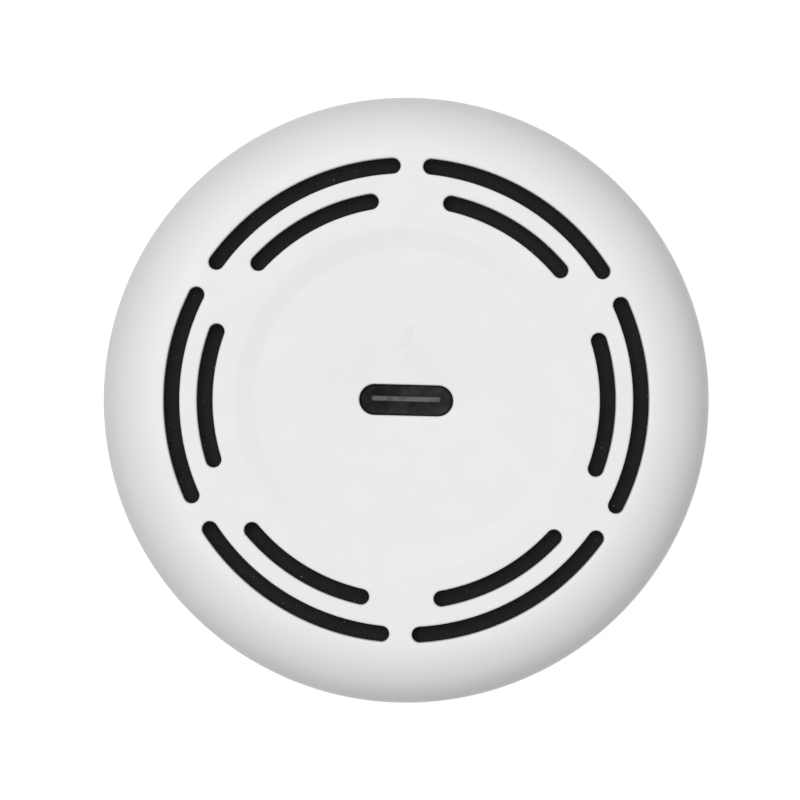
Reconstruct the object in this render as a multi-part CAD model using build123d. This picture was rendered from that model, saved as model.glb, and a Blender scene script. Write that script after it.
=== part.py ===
"""Handheld vacuum cleaner: a slim cylinder with a dust cup, a motor unit, a battery and a vented end cap.

Millimetres, +Z up. The mouth rim lies on Z = 0 and the end cap faces up. The power button faces -Y
and the long side of the charging port lies along X.
"""
import math
import os

from build123d import *

# Outer form
body_diameter = 55.0
edge_radius = 5.5
shell_wall = 2.2
seam_bevel = 0.3
nose_height = 26.0
cup_height = 70.0
cap_height = 17.0

# Fits and gaps
press_gap = 0.02
seat_gap = 0.05
running_gap = 0.05
pull_gap = 0.2
pass_gap = 0.3

# Nose, with the accessory socket inside the mouth
mouth_radius = 15.0
mouth_depth = 20.0
socket_wall = 2.0
lip_bevel = 0.6
nose_spigot_height = 5.0
spigot_wall = 1.6
spigot_taper = 2.0
gasket_thickness = 0.8
gasket_recess = 0.3

# Dust cup
cup_wall = 2.0
cup_spigot_height = 8.0
cup_spigot_wall = 2.7
seal_cord = 1.4
seal_groove_width = 1.7

# Inlet duct and flap
accessory_stop = 1.0
duct_sleeve = 6.0
duct_wall = 1.6
duct_height = 16.0
duct_top_radius = 11.0
flap_overlap = 1.4
flap_thickness = 1.5
flap_gap = 0.1
flap_knuckle_radius = 1.7
flap_knuckle_width = 10.0
flap_knuckle_gap = 0.5
pin_radius = 0.8
ear_thickness = 2.0
ear_drop = 8.0
ear_tip = 3.0

# Filter
flange_thickness = 3.0
flange_lip = 0.3
filter_drop = 45.0
filter_base = 2.0
cage_gap = 1.8
rib_count = 6
rib_width = 2.4
rib_depth = 1.6
filter_seal_width = 1.3
filter_seal_height = 1.8
screen_thickness = 0.4
screen_hole_radius = 1.2
screen_columns = 12
screen_rows = 7
media_gap = 1.5
media_thickness = 1.5
pleat_count = 36
pleat_depth = 4.5

# Motor plate and its ledge in the barrel
head_room = 2.0
ledge_width = 4.6
ledge_thickness = 2.5
plate_thickness = 2.5
intake_radius = 9.5
guard_radius = 5.0
guard_bar = 1.2
guard_spokes = 6
collar_wall = 1.4
collar_height = 10.0
isolator_floor = 2.0
isolator_sleeve = 1.0
isolator_height = 8.0

# Fan
shroud_wall = 1.4
shroud_height = 12.0
shroud_inlet_radius = 8.5
fan_gap = 0.5
impeller_front_gap = 2.4
fan_tip_gap = 1.4
impeller_eye_radius = 7.9
impeller_hub_radius = 3.6
blade_inlet_height = 6.0
blade_outlet_height = 2.2
blade_thickness = 0.8
blade_count = 9
blade_sweep = 50.0
backplate_thickness = 1.2
diffuser_height = 8.0
vane_count = 11
vane_thickness = 0.9
vane_height = 5.0
vane_tilt = 25.0
diffuser_passage = 3.0

# Motor
motor_wall = 1.4
motor_height = 20.0
motor_rear_plate = 1.6
motor_vent_margin = 0.8
boss_wall = 1.6
bearing_radius = 4.5
bearing_width = 3.0
bearing_shoulder = 1.5
front_plate = 1.4
shaft_radius = 1.5
shaft_nose = 0.9
shaft_tail = 1.0
magnet_radius = 3.6
magnet_overhang = 1.0
core_height = 10.4
core_lift = 2.6
yoke_width = 1.6
tooth_count = 6
tooth_width = 2.4
rotor_air_gap = 0.5
coil_width = 1.0
coil_root_gap = 0.6
coil_tip_gap = 0.6
motor_board_thickness = 1.2
motor_board_inset = 0.5
motor_board_hole = 3.5
motor_post_radius = 2.0
motor_post_inset = 2.9
motor_post_height = 1.2
rear_isolator_width = 1.95
rear_isolator_height = 6.0
rear_isolator_drop = 3.0

# Battery and chassis
cell_length = 65.0
cell_edge = 0.5
cell_web = 0.8
holder_wall = 1.4
holder_height = 5.0
battery_lift = 7.1
link_thickness = 0.3
link_width = 7.0
link_tab_radius = 4.0
column_count = 3
column_width = 6.0
column_depth = 3.1
chassis_ring_wall = 1.55
arm_width = 5.0
top_ring_lift = 8.0
top_ring_height = 4.0
tail_room = 19.5

# Main board
board_gap = 0.9
board_thickness = 1.6
board_edge_gap = 2.6
board_below = 5.5
board_above = 6.5
standoff_width = 5.0
standoff_depth = 5.0
standoff_shift = 0.9
transistor_size = (6.0, 1.2, 5.0)
transistor_pitch = 8.5
transistor_drop = 12.0
capacitor_radius = 1.8
capacitor_length = 10.0
capacitor_rise = 24.0
capacitor_offset = 6.0
light_size = (1.6, 0.7, 1.6)
light_offset = 5.2

# Power button
button_rise = 96.0
button_radius = 6.5
button_play = 0.25
button_recess = 0.25
button_dish_radius = 30.0
button_dish_depth = 0.5
button_flange_width = 1.0
button_flange_thickness = 0.7
button_stop_gap = 0.1
button_stem_radius = 1.2
light_ring_width = 1.2
light_ring_flange = 0.65
light_ring_flange_thickness = 0.7
switch_size = 6.2
switch_height = 1.0
plunger_radius = 1.6
plunger_proud = 0.4
plunger_sunk = 0.2
plunger_well = 0.8

# End cap
cap_spigot_height = 5.0
cap_face_wall = 2.0
cap_inner_fillet = 1.5
slot_count = 6
slot_width = 1.45
slot_edge_distance = 6.3
slot_pitch = 3.0
outer_slot_angle = 50.0
inner_slot_angle = 37.0
slot_softening = 0.25
dish_margin = 1.675
dish_slope = 2.4
dish_depth = 0.25
catch_count = 4
catch_width = 6.0
catch_height = 1.6
catch_depth = 0.6
catch_play = 0.2

# Exhaust mesh
mesh_thickness = 0.8
mesh_margin = 0.8
retainer_thickness = 1.6
retainer_ring_width = 1.3
retainer_spoke_width = 2.6

# Charging port, to the USB Type-C receptacle sizes
port_width = 8.5
port_height = 2.8
usb_width = 8.94
usb_height = 3.26
usb_wall = 0.3
usb_depth = 9.3
usb_base = 1.5
tongue_width = 6.69
tongue_thickness = 0.7
tongue_recess = 0.8
charge_board_depth = 12.0
charge_board_overhang = 4.5
charge_board_thickness = 1.2
charge_boss_radius = 2.4
charge_boss_margin = 1.1

# Screws: shank radius, head radius, head height, length
plate_screw = (1.0, 1.6, 1.4, 9.0)
motor_screw = (0.8, 1.4, 1.0, 5.0)
board_screw = (0.8, 1.4, 1.0, 3.4)
charge_screw = (0.85, 1.5, 1.2, 6.0)

# Leads
lead_radius = 0.7
lead_bend = 2.0
lead_pitch = 4.0
motor_lead_circle = 8.5
motor_lead_rise = 2.6
charge_lead_offset = 2.0
charge_lead_inset = 3.5
charge_lead_drop = 6.0
charge_lead_rise = 4.5

# Radii that follow from the sizes above
body_radius = body_diameter / 2
shell_inner = body_radius - shell_wall
socket_radius = mouth_radius + socket_wall
cup_inner = body_radius - cup_wall
nose_spigot_radius = cup_inner - seat_gap
cup_spigot_radius = shell_inner - pull_gap
cup_spigot_inner = cup_spigot_radius - cup_spigot_wall
seal_radius = shell_inner - running_gap - seal_cord / 2
throat_radius = mouth_radius - accessory_stop
flap_radius = duct_top_radius + flap_overlap
duct_top_outer = duct_top_radius + duct_wall
hinge_offset = duct_top_outer + flap_knuckle_radius + flap_knuckle_gap
cage_radius = cup_spigot_inner - cage_gap
screen_radius = cage_radius - rib_depth - seat_gap
media_radius = screen_radius - screen_thickness - media_gap
media_bore = media_radius - pleat_depth - media_thickness
flange_hole_radius = media_bore - flange_lip
flange_radius = shell_inner - pull_gap
filter_seal_radius = shell_inner - running_gap
ledge_inner = shell_inner - ledge_width
column_outer = shell_inner - pull_gap
column_inner = column_outer - column_depth
column_middle = (column_inner + column_outer) / 2
collar_outer = column_inner - pass_gap
collar_inner = collar_outer - collar_wall
isolator_radius = collar_inner - seat_gap
shroud_radius = isolator_radius - isolator_sleeve - seat_gap
fan_radius = shroud_radius - shroud_wall
impeller_radius = fan_radius - fan_tip_gap
motor_radius = fan_radius - diffuser_passage
motor_inner = motor_radius - motor_wall
motor_post_circle = motor_inner - motor_post_inset
motor_board_radius = motor_radius - motor_board_inset
bearing_seat = bearing_radius + seat_gap
bearing_boss = bearing_seat + boss_wall
motor_vent_circle = (bearing_boss + motor_inner) / 2
motor_vent_radius = (motor_inner - bearing_boss) / 2 - motor_vent_margin
core_radius = motor_inner - seat_gap
tooth_tip = magnet_radius + rotor_air_gap
coil_outer_end = core_radius - yoke_width - coil_root_gap
coil_inner_end = tooth_tip + coil_tip_gap
rear_isolator_inner = motor_radius + seat_gap
chassis_ring_inner = rear_isolator_inner + rear_isolator_width + seat_gap
holder_reach = column_inner - pass_gap
cell_hole = (holder_reach - holder_wall - cell_web / math.sqrt(3)) / (1 + 2 / math.sqrt(3))
cell_radius = cell_hole - seat_gap
cell_circle = (2 * cell_hole + cell_web) / math.sqrt(3)
standoff_offset = cell_circle * math.cos(math.radians(30)) + standoff_shift
cap_spigot_radius = shell_inner - seat_gap
cap_spigot_inner = cap_spigot_radius - spigot_wall
outer_slot_radius = body_radius - slot_edge_distance
inner_slot_radius = outer_slot_radius - slot_pitch
mesh_inner = inner_slot_radius - slot_width / 2 - mesh_margin
mesh_outer = outer_slot_radius + slot_width / 2 + mesh_margin
dish_radius = inner_slot_radius - slot_width / 2 - dish_margin
dish_floor_radius = dish_radius - dish_slope
charge_boss_offset = mesh_inner - retainer_ring_width / 2 - charge_boss_margin - charge_boss_radius
charge_board_width = 2 * (charge_boss_offset + charge_board_overhang)

# Heights that follow from the sizes above
nose_top = nose_height
cup_low = nose_top + gasket_thickness
cup_top = nose_top + cup_height
spigot_top = cup_top + cup_spigot_height
duct_top = mouth_depth + duct_height
hinge_height = duct_top + flap_gap + flap_thickness / 2
flange_top = spigot_top + flange_thickness
filter_low = spigot_top - filter_drop
ledge_low = flange_top + head_room
ledge_top = ledge_low + ledge_thickness
plate_top = ledge_top + plate_thickness
shroud_low = plate_top + isolator_floor
shroud_top = shroud_low + shroud_height
impeller_low = shroud_low + impeller_front_gap
backplate_low = impeller_low + blade_inlet_height
impeller_top = backplate_low + backplate_thickness
diffuser_top = shroud_top + diffuser_height
motor_top = diffuser_top + motor_height
front_bearing_low = shroud_top + front_plate
rear_bearing_top = motor_top - motor_rear_plate
core_low = diffuser_top + core_lift
core_top = core_low + core_height
motor_board_low = motor_top + motor_post_height
motor_board_top = motor_board_low + motor_board_thickness
cell_low = motor_board_top + battery_lift
cell_top = cell_low + cell_length
board_low = cell_low - board_below
board_top = cell_top + board_above
barrel_top = cell_top + tail_room
end_top = barrel_top + cap_height
cap_inner_top = end_top - cap_face_wall
charge_board_top = cap_inner_top - usb_depth
charge_board_low = charge_board_top - charge_board_thickness
mesh_low = cap_inner_top - mesh_thickness
retainer_low = mesh_low - retainer_thickness
button_height = cup_top + button_rise
isolator_ring_top = motor_top - rear_isolator_drop
isolator_ring_low = isolator_ring_top - rear_isolator_height

# Places across the barrel, from the cells out to the button
board_inner_face = -(cell_circle / 2 + cell_hole + holder_wall + board_gap)
board_outer_face = board_inner_face - board_thickness
board_half_width = math.sqrt((shell_inner - pull_gap) ** 2 - board_outer_face**2) - board_edge_gap
switch_face = board_outer_face - switch_height
plunger_face = switch_face - plunger_proud
ring_inner = button_radius + button_play
ring_outer = ring_inner + light_ring_width
ring_flange_radius = ring_outer + light_ring_flange
ring_flange_face = -(math.sqrt(shell_inner**2 - ring_flange_radius**2) - pull_gap)
ring_back = ring_flange_face + light_ring_flange_thickness
button_flange_face = ring_back + button_stop_gap
button_back = button_flange_face + button_flange_thickness

column_angles = [90 + index * 360 / column_count for index in range(column_count)]
cell_angles = [90, 210, 330]


def turned(outline):
    """Solid of revolution about Z from a closed outline of radius and height."""
    return revolve(Plane.XZ * make_face(outline.edges()), Axis.Z)


def ring(inner, outer, low, high):
    """Ring about Z between two heights; a disc where the inner radius is zero."""
    face = Circle(outer)
    if inner > 0:
        face -= Circle(inner)
    return Pos(0, 0, low) * extrude(face, high - low)


def around(count, shape, first=0.0):
    """Copies of a shape spread evenly about Z."""
    return [Rot(0, 0, first + index * 360 / count) * shape for index in range(count)]


def toward_front(radius, front, back):
    """Round bar at the button, along Y between two depths."""
    return Pos(0, front, button_height) * Rot(-90, 0, 0) * extrude(Circle(radius), back - front)


def screw(sizes):
    """Screw pointing up from the underside of its head at Z = 0."""
    shank_radius, head_radius, head_height, length = sizes
    head = Pos(0, 0, -head_height) * extrude(Circle(head_radius), head_height)
    return head + extrude(Circle(shank_radius), length)


def lead(*points):
    """Round wire along a bent route."""
    route = FilletPolyline(*points, radius=lead_bend)
    return sweep(Plane(origin=route @ 0, z_dir=route % 0) * Circle(lead_radius), path=route)


def make_nose():
    centre = (body_radius - edge_radius, edge_radius)
    wall_inner = nose_spigot_radius - spigot_wall
    side = Polyline(
        (body_radius, edge_radius),
        (body_radius, nose_top),
        (nose_spigot_radius, nose_top),
        (nose_spigot_radius, nose_top + nose_spigot_height),
        (wall_inner, nose_top + nose_spigot_height),
        (wall_inner, nose_top - spigot_taper),
        (shell_inner, nose_top - 2 * spigot_taper),
        (shell_inner, edge_radius),
    )
    floor = Polyline(
        (body_radius - edge_radius, shell_wall),
        (socket_radius, shell_wall),
        (socket_radius, mouth_depth),
        (mouth_radius, mouth_depth),
        (mouth_radius, lip_bevel),
        (mouth_radius + lip_bevel, 0),
        (body_radius - edge_radius, 0),
    )
    outer_arc = CenterArc(centre, edge_radius, -90, 90)
    inner_arc = CenterArc(centre, edge_radius - shell_wall, -90, 90)
    return turned(outer_arc + side + inner_arc + floor)


def make_nose_gasket():
    return ring(nose_spigot_radius + seat_gap, body_radius - gasket_recess, nose_top, cup_low)


def make_dust_cup():
    taper_top = cup_top - spigot_taper
    outline = Polyline(
        (cup_inner, cup_low),
        (body_radius - seam_bevel, cup_low),
        (body_radius, cup_low + seam_bevel),
        (body_radius, cup_top - seam_bevel),
        (body_radius - seam_bevel, cup_top),
        (cup_spigot_radius, cup_top),
        (cup_spigot_radius, spigot_top),
        (cup_spigot_inner, spigot_top),
        (cup_spigot_inner, taper_top),
        (cup_inner, taper_top - (cup_inner - cup_spigot_inner)),
        close=True,
    )
    middle = cup_top + cup_spigot_height / 2
    groove_floor = seal_radius - seal_cord / 2 - seat_gap
    groove = ring(groove_floor, body_radius, middle - seal_groove_width / 2, middle + seal_groove_width / 2)
    return turned(outline) - groove


def make_cup_seal():
    return Pos(0, 0, cup_top + cup_spigot_height / 2) * Torus(seal_radius, seal_cord / 2)


def make_inlet_duct():
    sleeve_inner = socket_radius + seat_gap
    sleeve_outer = sleeve_inner + duct_wall
    throat = mouth_depth + duct_wall
    body = turned(
        Polyline(
            (sleeve_inner, mouth_depth - duct_sleeve),
            (sleeve_outer, mouth_depth - duct_sleeve),
            (sleeve_outer, throat),
            (duct_top_outer, duct_top),
            (duct_top_radius, duct_top),
            (throat_radius, throat),
            (throat_radius, mouth_depth),
            (sleeve_inner, mouth_depth),
            close=True,
        )
    )
    passage = Pos(0, 0, (throat + duct_top) / 2) * Cone(throat_radius, duct_top_radius, duct_top - throat)
    for side in (-1, 1):
        body += make_hinge_ear(side) - passage
    return body - hinge_bar(pin_radius + press_gap, pin_length())


def make_hinge_ear(side):
    """Ear of the inlet duct that carries one end of the flap pin."""
    middle = side * (flap_knuckle_width / 2 + pass_gap + ear_thickness / 2)
    ear_end = hinge_offset + flap_knuckle_radius
    gusset = Polyline(
        (duct_top_radius, duct_top),
        (ear_end, duct_top),
        (ear_end, duct_top - ear_tip),
        (duct_top_outer, duct_top - ear_drop),
        (duct_top_radius, duct_top - ear_drop),
        close=True,
    )
    ear = Pos(middle, 0, 0) * extrude(Plane.YZ * make_face(gusset.edges()), ear_thickness / 2, both=True)
    post_height = hinge_height - duct_top
    post = Box(ear_thickness, 2 * flap_knuckle_radius, post_height)
    ear += Pos(middle, hinge_offset, duct_top + post_height / 2) * post
    eye = Rot(0, 90, 0) * Cylinder(flap_knuckle_radius, ear_thickness)
    return ear + Pos(middle, hinge_offset, hinge_height) * eye


def pin_length():
    return flap_knuckle_width + 2 * pass_gap + 2 * ear_thickness


def hinge_bar(radius, length):
    """Round bar along the flap hinge."""
    return Pos(0, hinge_offset, hinge_height) * Rot(0, 90, 0) * Cylinder(radius, length)


def make_flap_pin():
    return hinge_bar(pin_radius, pin_length())


def make_inlet_flap():
    disc_low = duct_top + flap_gap
    disc = ring(0, flap_radius, disc_low, disc_low + flap_thickness)
    arm = Pos(0, hinge_offset / 2, hinge_height) * Box(flap_knuckle_width, hinge_offset, flap_thickness)
    knuckle = hinge_bar(flap_knuckle_radius, flap_knuckle_width)
    return disc + arm + knuckle - hinge_bar(pin_radius + running_gap, pin_length())


def make_filter_frame():
    groove_floor = filter_seal_radius - filter_seal_width - seat_gap
    middle = (spigot_top + flange_top) / 2
    groove_low = middle - filter_seal_height / 2
    frame = ring(flange_hole_radius, flange_radius, spigot_top, flange_top)
    frame -= ring(groove_floor, body_radius, groove_low, groove_low + filter_seal_height)
    frame += ring(0, cage_radius, filter_low, filter_low + filter_base)
    rib = Pos(cage_radius - rib_depth / 2, 0, (filter_low + spigot_top) / 2)
    return frame + around(rib_count, rib * Box(rib_depth, rib_width, filter_drop))


def make_filter_seal():
    middle = (spigot_top + flange_top) / 2
    low = middle - filter_seal_height / 2
    return ring(filter_seal_radius - filter_seal_width, filter_seal_radius, low, low + filter_seal_height)


def make_filter_screen():
    low = filter_low + filter_base
    row_step = (spigot_top - low) / screen_rows
    screen = ring(screen_radius - screen_thickness, screen_radius, low, spigot_top)
    drill = Rot(0, 90, 0) * extrude(Circle(screen_hole_radius), body_radius)
    holes = []
    for row in range(screen_rows):
        height = low + (row + 0.5) * row_step
        stagger = (row % 2) * 180 / screen_columns
        holes += around(screen_columns, Pos(0, 0, height) * drill, stagger)
    return screen - holes


def pleats(outer):
    """Star outline of the pleated media."""
    points = []
    for index in range(2 * pleat_count):
        radius = outer - (index % 2) * pleat_depth
        angle = math.pi * index / pleat_count
        points.append((radius * math.cos(angle), radius * math.sin(angle)))
    return make_face(Polyline(*points, close=True).edges())


def make_filter_media():
    low = filter_low + filter_base
    wall = pleats(media_radius) - pleats(media_radius - media_thickness)
    return Pos(0, 0, low) * extrude(wall, spigot_top - low)


def make_barrel():
    outline = Polyline(
        (shell_inner, cup_top),
        (body_radius - seam_bevel, cup_top),
        (body_radius, cup_top + seam_bevel),
        (body_radius, barrel_top - seam_bevel),
        (body_radius - seam_bevel, barrel_top),
        (shell_inner, barrel_top),
        (shell_inner, ledge_top),
        (ledge_inner, ledge_top),
        (ledge_inner, ledge_low),
        (shell_inner, ledge_low),
        close=True,
    )
    hole = toward_front(ring_outer + seat_gap, -body_diameter, board_inner_face)
    pocket = catch(catch_depth + catch_play, catch_width + 2 * catch_play, catch_height + 2 * catch_play)
    screw_hole = ring(0, plate_screw[0] + seat_gap, ledge_low, ledge_top)
    barrel = turned(outline) - hole - around(catch_count, pocket, 45)
    return barrel - around(column_count, Pos(column_middle, 0, 0) * screw_hole, column_angles[0])


def catch(depth, width, height):
    """Block that stands out from the end cap's spigot, or its pocket in the barrel."""
    middle = barrel_top - cap_spigot_height / 2
    return Pos(cap_spigot_radius, 0, middle) * Box(2 * depth, width, height)


def make_motor_plate():
    plate = ring(intake_radius, shell_inner - pull_gap, ledge_top, plate_top)
    plate += ring(collar_inner, collar_outer, plate_top, plate_top + collar_height)
    plate += ring(guard_radius - guard_bar / 2, guard_radius + guard_bar / 2, ledge_top, plate_top)
    spoke_length = intake_radius + guard_bar
    spoke_place = Pos(spoke_length / 2, 0, (ledge_top + plate_top) / 2)
    plate += around(guard_spokes, spoke_place * Box(spoke_length, guard_bar, plate_thickness))
    screw_hole = ring(0, plate_screw[0] + seat_gap, ledge_top, plate_top)
    return plate - around(column_count, Pos(column_middle, 0, 0) * screw_hole, column_angles[0])


def make_plate_screws():
    return around(column_count, Pos(column_middle, 0, ledge_low) * screw(plate_screw), column_angles[0])


def make_front_isolator():
    floor = ring(intake_radius, isolator_radius, plate_top, shroud_low)
    sleeve = ring(shroud_radius + seat_gap, isolator_radius, plate_top, plate_top + isolator_height)
    return floor + sleeve


def make_fan_shroud():
    outlet_height = backplate_low - blade_outlet_height - fan_gap
    return turned(
        Polyline(
            (shroud_inlet_radius, shroud_low),
            (shroud_radius, shroud_low),
            (shroud_radius, shroud_top),
            (fan_radius, shroud_top),
            (fan_radius, outlet_height),
            (shroud_inlet_radius, impeller_low - fan_gap),
            close=True,
        )
    )


def make_impeller():
    envelope = turned(
        Polyline(
            (0, impeller_low),
            (impeller_eye_radius, impeller_low),
            (impeller_radius, backplate_low - blade_outlet_height),
            (impeller_radius, impeller_top),
            (0, impeller_top),
            close=True,
        )
    )
    start = (impeller_hub_radius - blade_thickness / 2, 0)
    sweep_angle = math.radians(blade_sweep)
    end_radius = impeller_radius + blade_thickness
    end = (end_radius * math.cos(sweep_angle), end_radius * math.sin(sweep_angle))
    camber = RadiusArc(start, end, -impeller_radius)
    blade = Pos(0, 0, impeller_low) * extrude(SlotArc(camber.edge(), blade_thickness), blade_inlet_height)
    wheel = ring(0, impeller_radius, backplate_low, impeller_top)
    wheel += ring(0, impeller_hub_radius, impeller_low, backplate_low)
    wheel += [envelope & copy for copy in around(blade_count, blade)]
    return wheel - ring(0, shaft_radius + press_gap, impeller_low, impeller_top)


def make_diffuser():
    casing = ring(fan_radius, shroud_radius, shroud_top, diffuser_top)
    hub = ring(motor_inner, motor_radius, shroud_top, diffuser_top)
    front = ring(bearing_seat - bearing_shoulder, motor_radius, shroud_top, front_bearing_low)
    boss = ring(bearing_seat, bearing_boss, shroud_top, front_bearing_low + bearing_width)
    middle = Pos((motor_radius + fan_radius) / 2, 0, (shroud_top + diffuser_top) / 2)
    vane_length = fan_radius - motor_radius + shroud_wall
    vane = middle * Rot(vane_tilt, 0, 0) * Box(vane_length, vane_thickness, vane_height)
    return casing + hub + front + boss + around(vane_count, vane)


def make_motor_can():
    can = ring(motor_inner, motor_radius, diffuser_top, motor_top)
    can += ring(bearing_seat - bearing_shoulder, motor_radius, rear_bearing_top, motor_top)
    can += ring(bearing_seat, bearing_boss, rear_bearing_top - bearing_width, rear_bearing_top)
    post = ring(0, motor_post_radius, rear_bearing_top, motor_board_low)
    can += around(column_count, Pos(motor_post_circle, 0, 0) * post, column_angles[0])
    vent = Pos(motor_vent_circle, 0, 0) * ring(0, motor_vent_radius, rear_bearing_top, motor_top)
    can -= around(column_count, vent, column_angles[0] + 180)
    screw_tip = motor_board_top - motor_screw[3] - press_gap
    pilot = ring(0, motor_screw[0] + press_gap, screw_tip, motor_board_low)
    can -= around(column_count, Pos(motor_post_circle, 0, 0) * pilot, column_angles[0])
    return can


def make_bearing(low):
    return ring(shaft_radius + running_gap, bearing_radius, low, low + bearing_width)


def make_stator_core():
    face = Circle(core_radius) - Circle(core_radius - yoke_width)
    tooth = Pos(core_radius / 2, 0) * Rectangle(core_radius - yoke_width / 2, tooth_width)
    face += around(tooth_count, tooth)
    face -= Circle(tooth_tip)
    return Pos(0, 0, core_low) * extrude(face, core_height)


def make_stator_coils():
    coil_length = coil_outer_end - coil_inner_end
    middle = Pos((coil_inner_end + coil_outer_end) / 2, 0, (core_low + core_top) / 2)
    hole_width = tooth_width + 2 * seat_gap
    hole_height = core_height + 2 * seat_gap
    coil = Box(coil_length, hole_width + 2 * coil_width, hole_height + 2 * coil_width)
    coil -= Box(coil_length, hole_width, hole_height)
    return around(tooth_count, middle * coil)


def make_rotor_magnet():
    low = core_low - magnet_overhang
    high = core_top + magnet_overhang
    return ring(shaft_radius + press_gap, magnet_radius, low, high)


def make_rotor_shaft():
    return ring(0, shaft_radius, impeller_low - shaft_nose, motor_top + shaft_tail)


def make_motor_board():
    board = ring(motor_board_hole, motor_board_radius, motor_board_low, motor_board_top)
    hole = ring(0, motor_screw[0] + seat_gap, motor_board_low, motor_board_top)
    return board - around(column_count, Pos(motor_post_circle, 0, 0) * hole, column_angles[0])


def make_motor_board_screws():
    down = Pos(motor_post_circle, 0, motor_board_top) * Rot(180, 0, 0) * screw(motor_screw)
    return around(column_count, down, column_angles[0])


def make_rear_isolator():
    inner = rear_isolator_inner
    return ring(inner, inner + rear_isolator_width, isolator_ring_low, isolator_ring_top)


def make_chassis():
    column_high = cell_top + top_ring_lift
    chassis = ring(column_inner, column_outer, column_high, column_high + top_ring_height)
    chassis += ring(
        chassis_ring_inner, chassis_ring_inner + chassis_ring_wall, isolator_ring_low, isolator_ring_top
    )
    stock = ring(column_inner, column_outer, plate_top, column_high)
    width_cut = Pos(body_radius / 2, 0, (plate_top + column_high) / 2)
    column = stock & width_cut * Box(body_radius, column_width, column_high - plate_top)
    arm_length = column_middle - chassis_ring_inner - chassis_ring_wall / 2
    arm_place = Pos(column_middle - arm_length / 2, 0, (isolator_ring_low + isolator_ring_top) / 2)
    arm = arm_place * Box(arm_length, arm_width, rear_isolator_height)
    pilot_top = ledge_low + plate_screw[3]
    pilot = Pos(column_middle, 0, 0) * ring(0, plate_screw[0] + press_gap, plate_top, pilot_top)
    chassis += around(column_count, column, column_angles[0])
    chassis += around(column_count, arm, column_angles[0])
    return chassis - around(column_count, pilot, column_angles[0])


def make_cell(angle):
    cell = ring(0, cell_radius, cell_low, cell_top)
    cell = fillet(cell.edges().filter_by(GeomType.CIRCLE), cell_edge)
    return Rot(0, 0, angle) * Pos(cell_circle, 0, 0) * cell


def make_cell_holder(low):
    """Plate with three round holes for the cell ends and two standoffs for the main board."""
    high = low + holder_height
    lobe = Pos(cell_circle, 0, 0) * ring(0, cell_hole + holder_wall, low, high)
    hole = Pos(cell_circle, 0, 0) * ring(0, cell_hole, low, high)
    holder = ring(0, cell_circle, low, high)
    holder += around(len(cell_angles), lobe, cell_angles[0])
    for side in (-1, 1):
        place = Pos(side * standoff_offset, board_inner_face + standoff_depth / 2, (low + high) / 2)
        holder += place * Box(standoff_width, standoff_depth, holder_height)
    holder -= around(len(cell_angles), hole, cell_angles[0])
    for side in (-1, 1):
        holder -= board_screw_bar(side, low, board_screw[0] + press_gap)
    return holder


def board_screw_bar(side, low, radius):
    """Round bar along a main board screw, from the board's outer face inwards."""
    middle = Pos(side * standoff_offset, board_outer_face, low + holder_height / 2)
    return middle * Rot(-90, 0, 0) * extrude(Circle(radius), board_screw[3])


def make_cell_links(angles, single, low):
    """Strip that joins two cells, and a tab on the third."""
    ends = []
    for angle in angles:
        turn = math.radians(angle)
        ends.append((cell_circle * math.cos(turn), cell_circle * math.sin(turn)))
    strip = Pos(0, 0, low) * extrude(SlotArc(Edge.make_line(*ends), link_width), link_thickness)
    tab = ring(0, link_tab_radius, low, low + link_thickness)
    return [strip, Rot(0, 0, single) * Pos(cell_circle, 0, 0) * tab]


def make_main_board():
    middle = Pos(0, (board_inner_face + board_outer_face) / 2, (board_low + board_top) / 2)
    board = middle * Box(2 * board_half_width, board_thickness, board_top - board_low)
    for low in (cell_low, cell_top - holder_height):
        for side in (-1, 1):
            board -= board_screw_bar(side, low, board_screw[0] + seat_gap)
    return board


def make_board_screws():
    screws = []
    for low in (cell_low, cell_top - holder_height):
        for side in (-1, 1):
            place = Pos(side * standoff_offset, board_outer_face, low + holder_height / 2)
            screws.append(place * Rot(-90, 0, 0) * screw(board_screw))
    return screws


def make_power_transistors():
    width, depth, height = transistor_size
    middle = Pos(0, board_outer_face - depth / 2, button_height - transistor_drop)
    places = [Pos(step * transistor_pitch, 0, 0) for step in (-1, 0, 1)]
    return [place * middle * Box(width, depth, height) for place in places]


def make_capacitor():
    middle = Pos(capacitor_offset, board_outer_face - capacitor_radius, button_height + capacitor_rise)
    return middle * Cylinder(capacitor_radius, capacitor_length)


def make_status_lights():
    middle = Pos(0, board_outer_face - light_size[1] / 2, button_height)
    lights = []
    for across in (-1, 1):
        for along in (-1, 1):
            corner = Pos(across * light_offset, 0, along * light_offset)
            lights.append(middle * corner * Box(*light_size))
    return lights


def make_tact_switch():
    middle = Pos(0, board_outer_face - switch_height / 2, button_height)
    well = toward_front(plunger_radius + running_gap, switch_face, switch_face + plunger_well)
    return middle * Box(switch_size, switch_height, switch_size) - well


def make_switch_plunger():
    return toward_front(plunger_radius, plunger_face, switch_face + plunger_sunk)


def make_light_ring():
    tube = toward_front(ring_outer, -body_radius, ring_back) & ring(0, body_radius, cup_top, barrel_top)
    flange = toward_front(ring_flange_radius, ring_flange_face, ring_back)
    return tube + flange - toward_front(ring_inner, -body_diameter, ring_back)


def make_power_button():
    face_radius = body_radius - button_recess
    knob = toward_front(button_radius, -body_radius, button_flange_face)
    knob &= ring(0, face_radius, cup_top, barrel_top)
    dish_place = Pos(0, -face_radius + button_dish_depth - button_dish_radius, button_height)
    knob -= dish_place * Sphere(button_dish_radius)
    flange = toward_front(button_radius + button_flange_width, button_flange_face, button_back)
    return knob + flange + toward_front(button_stem_radius, button_back, plunger_face)


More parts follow.
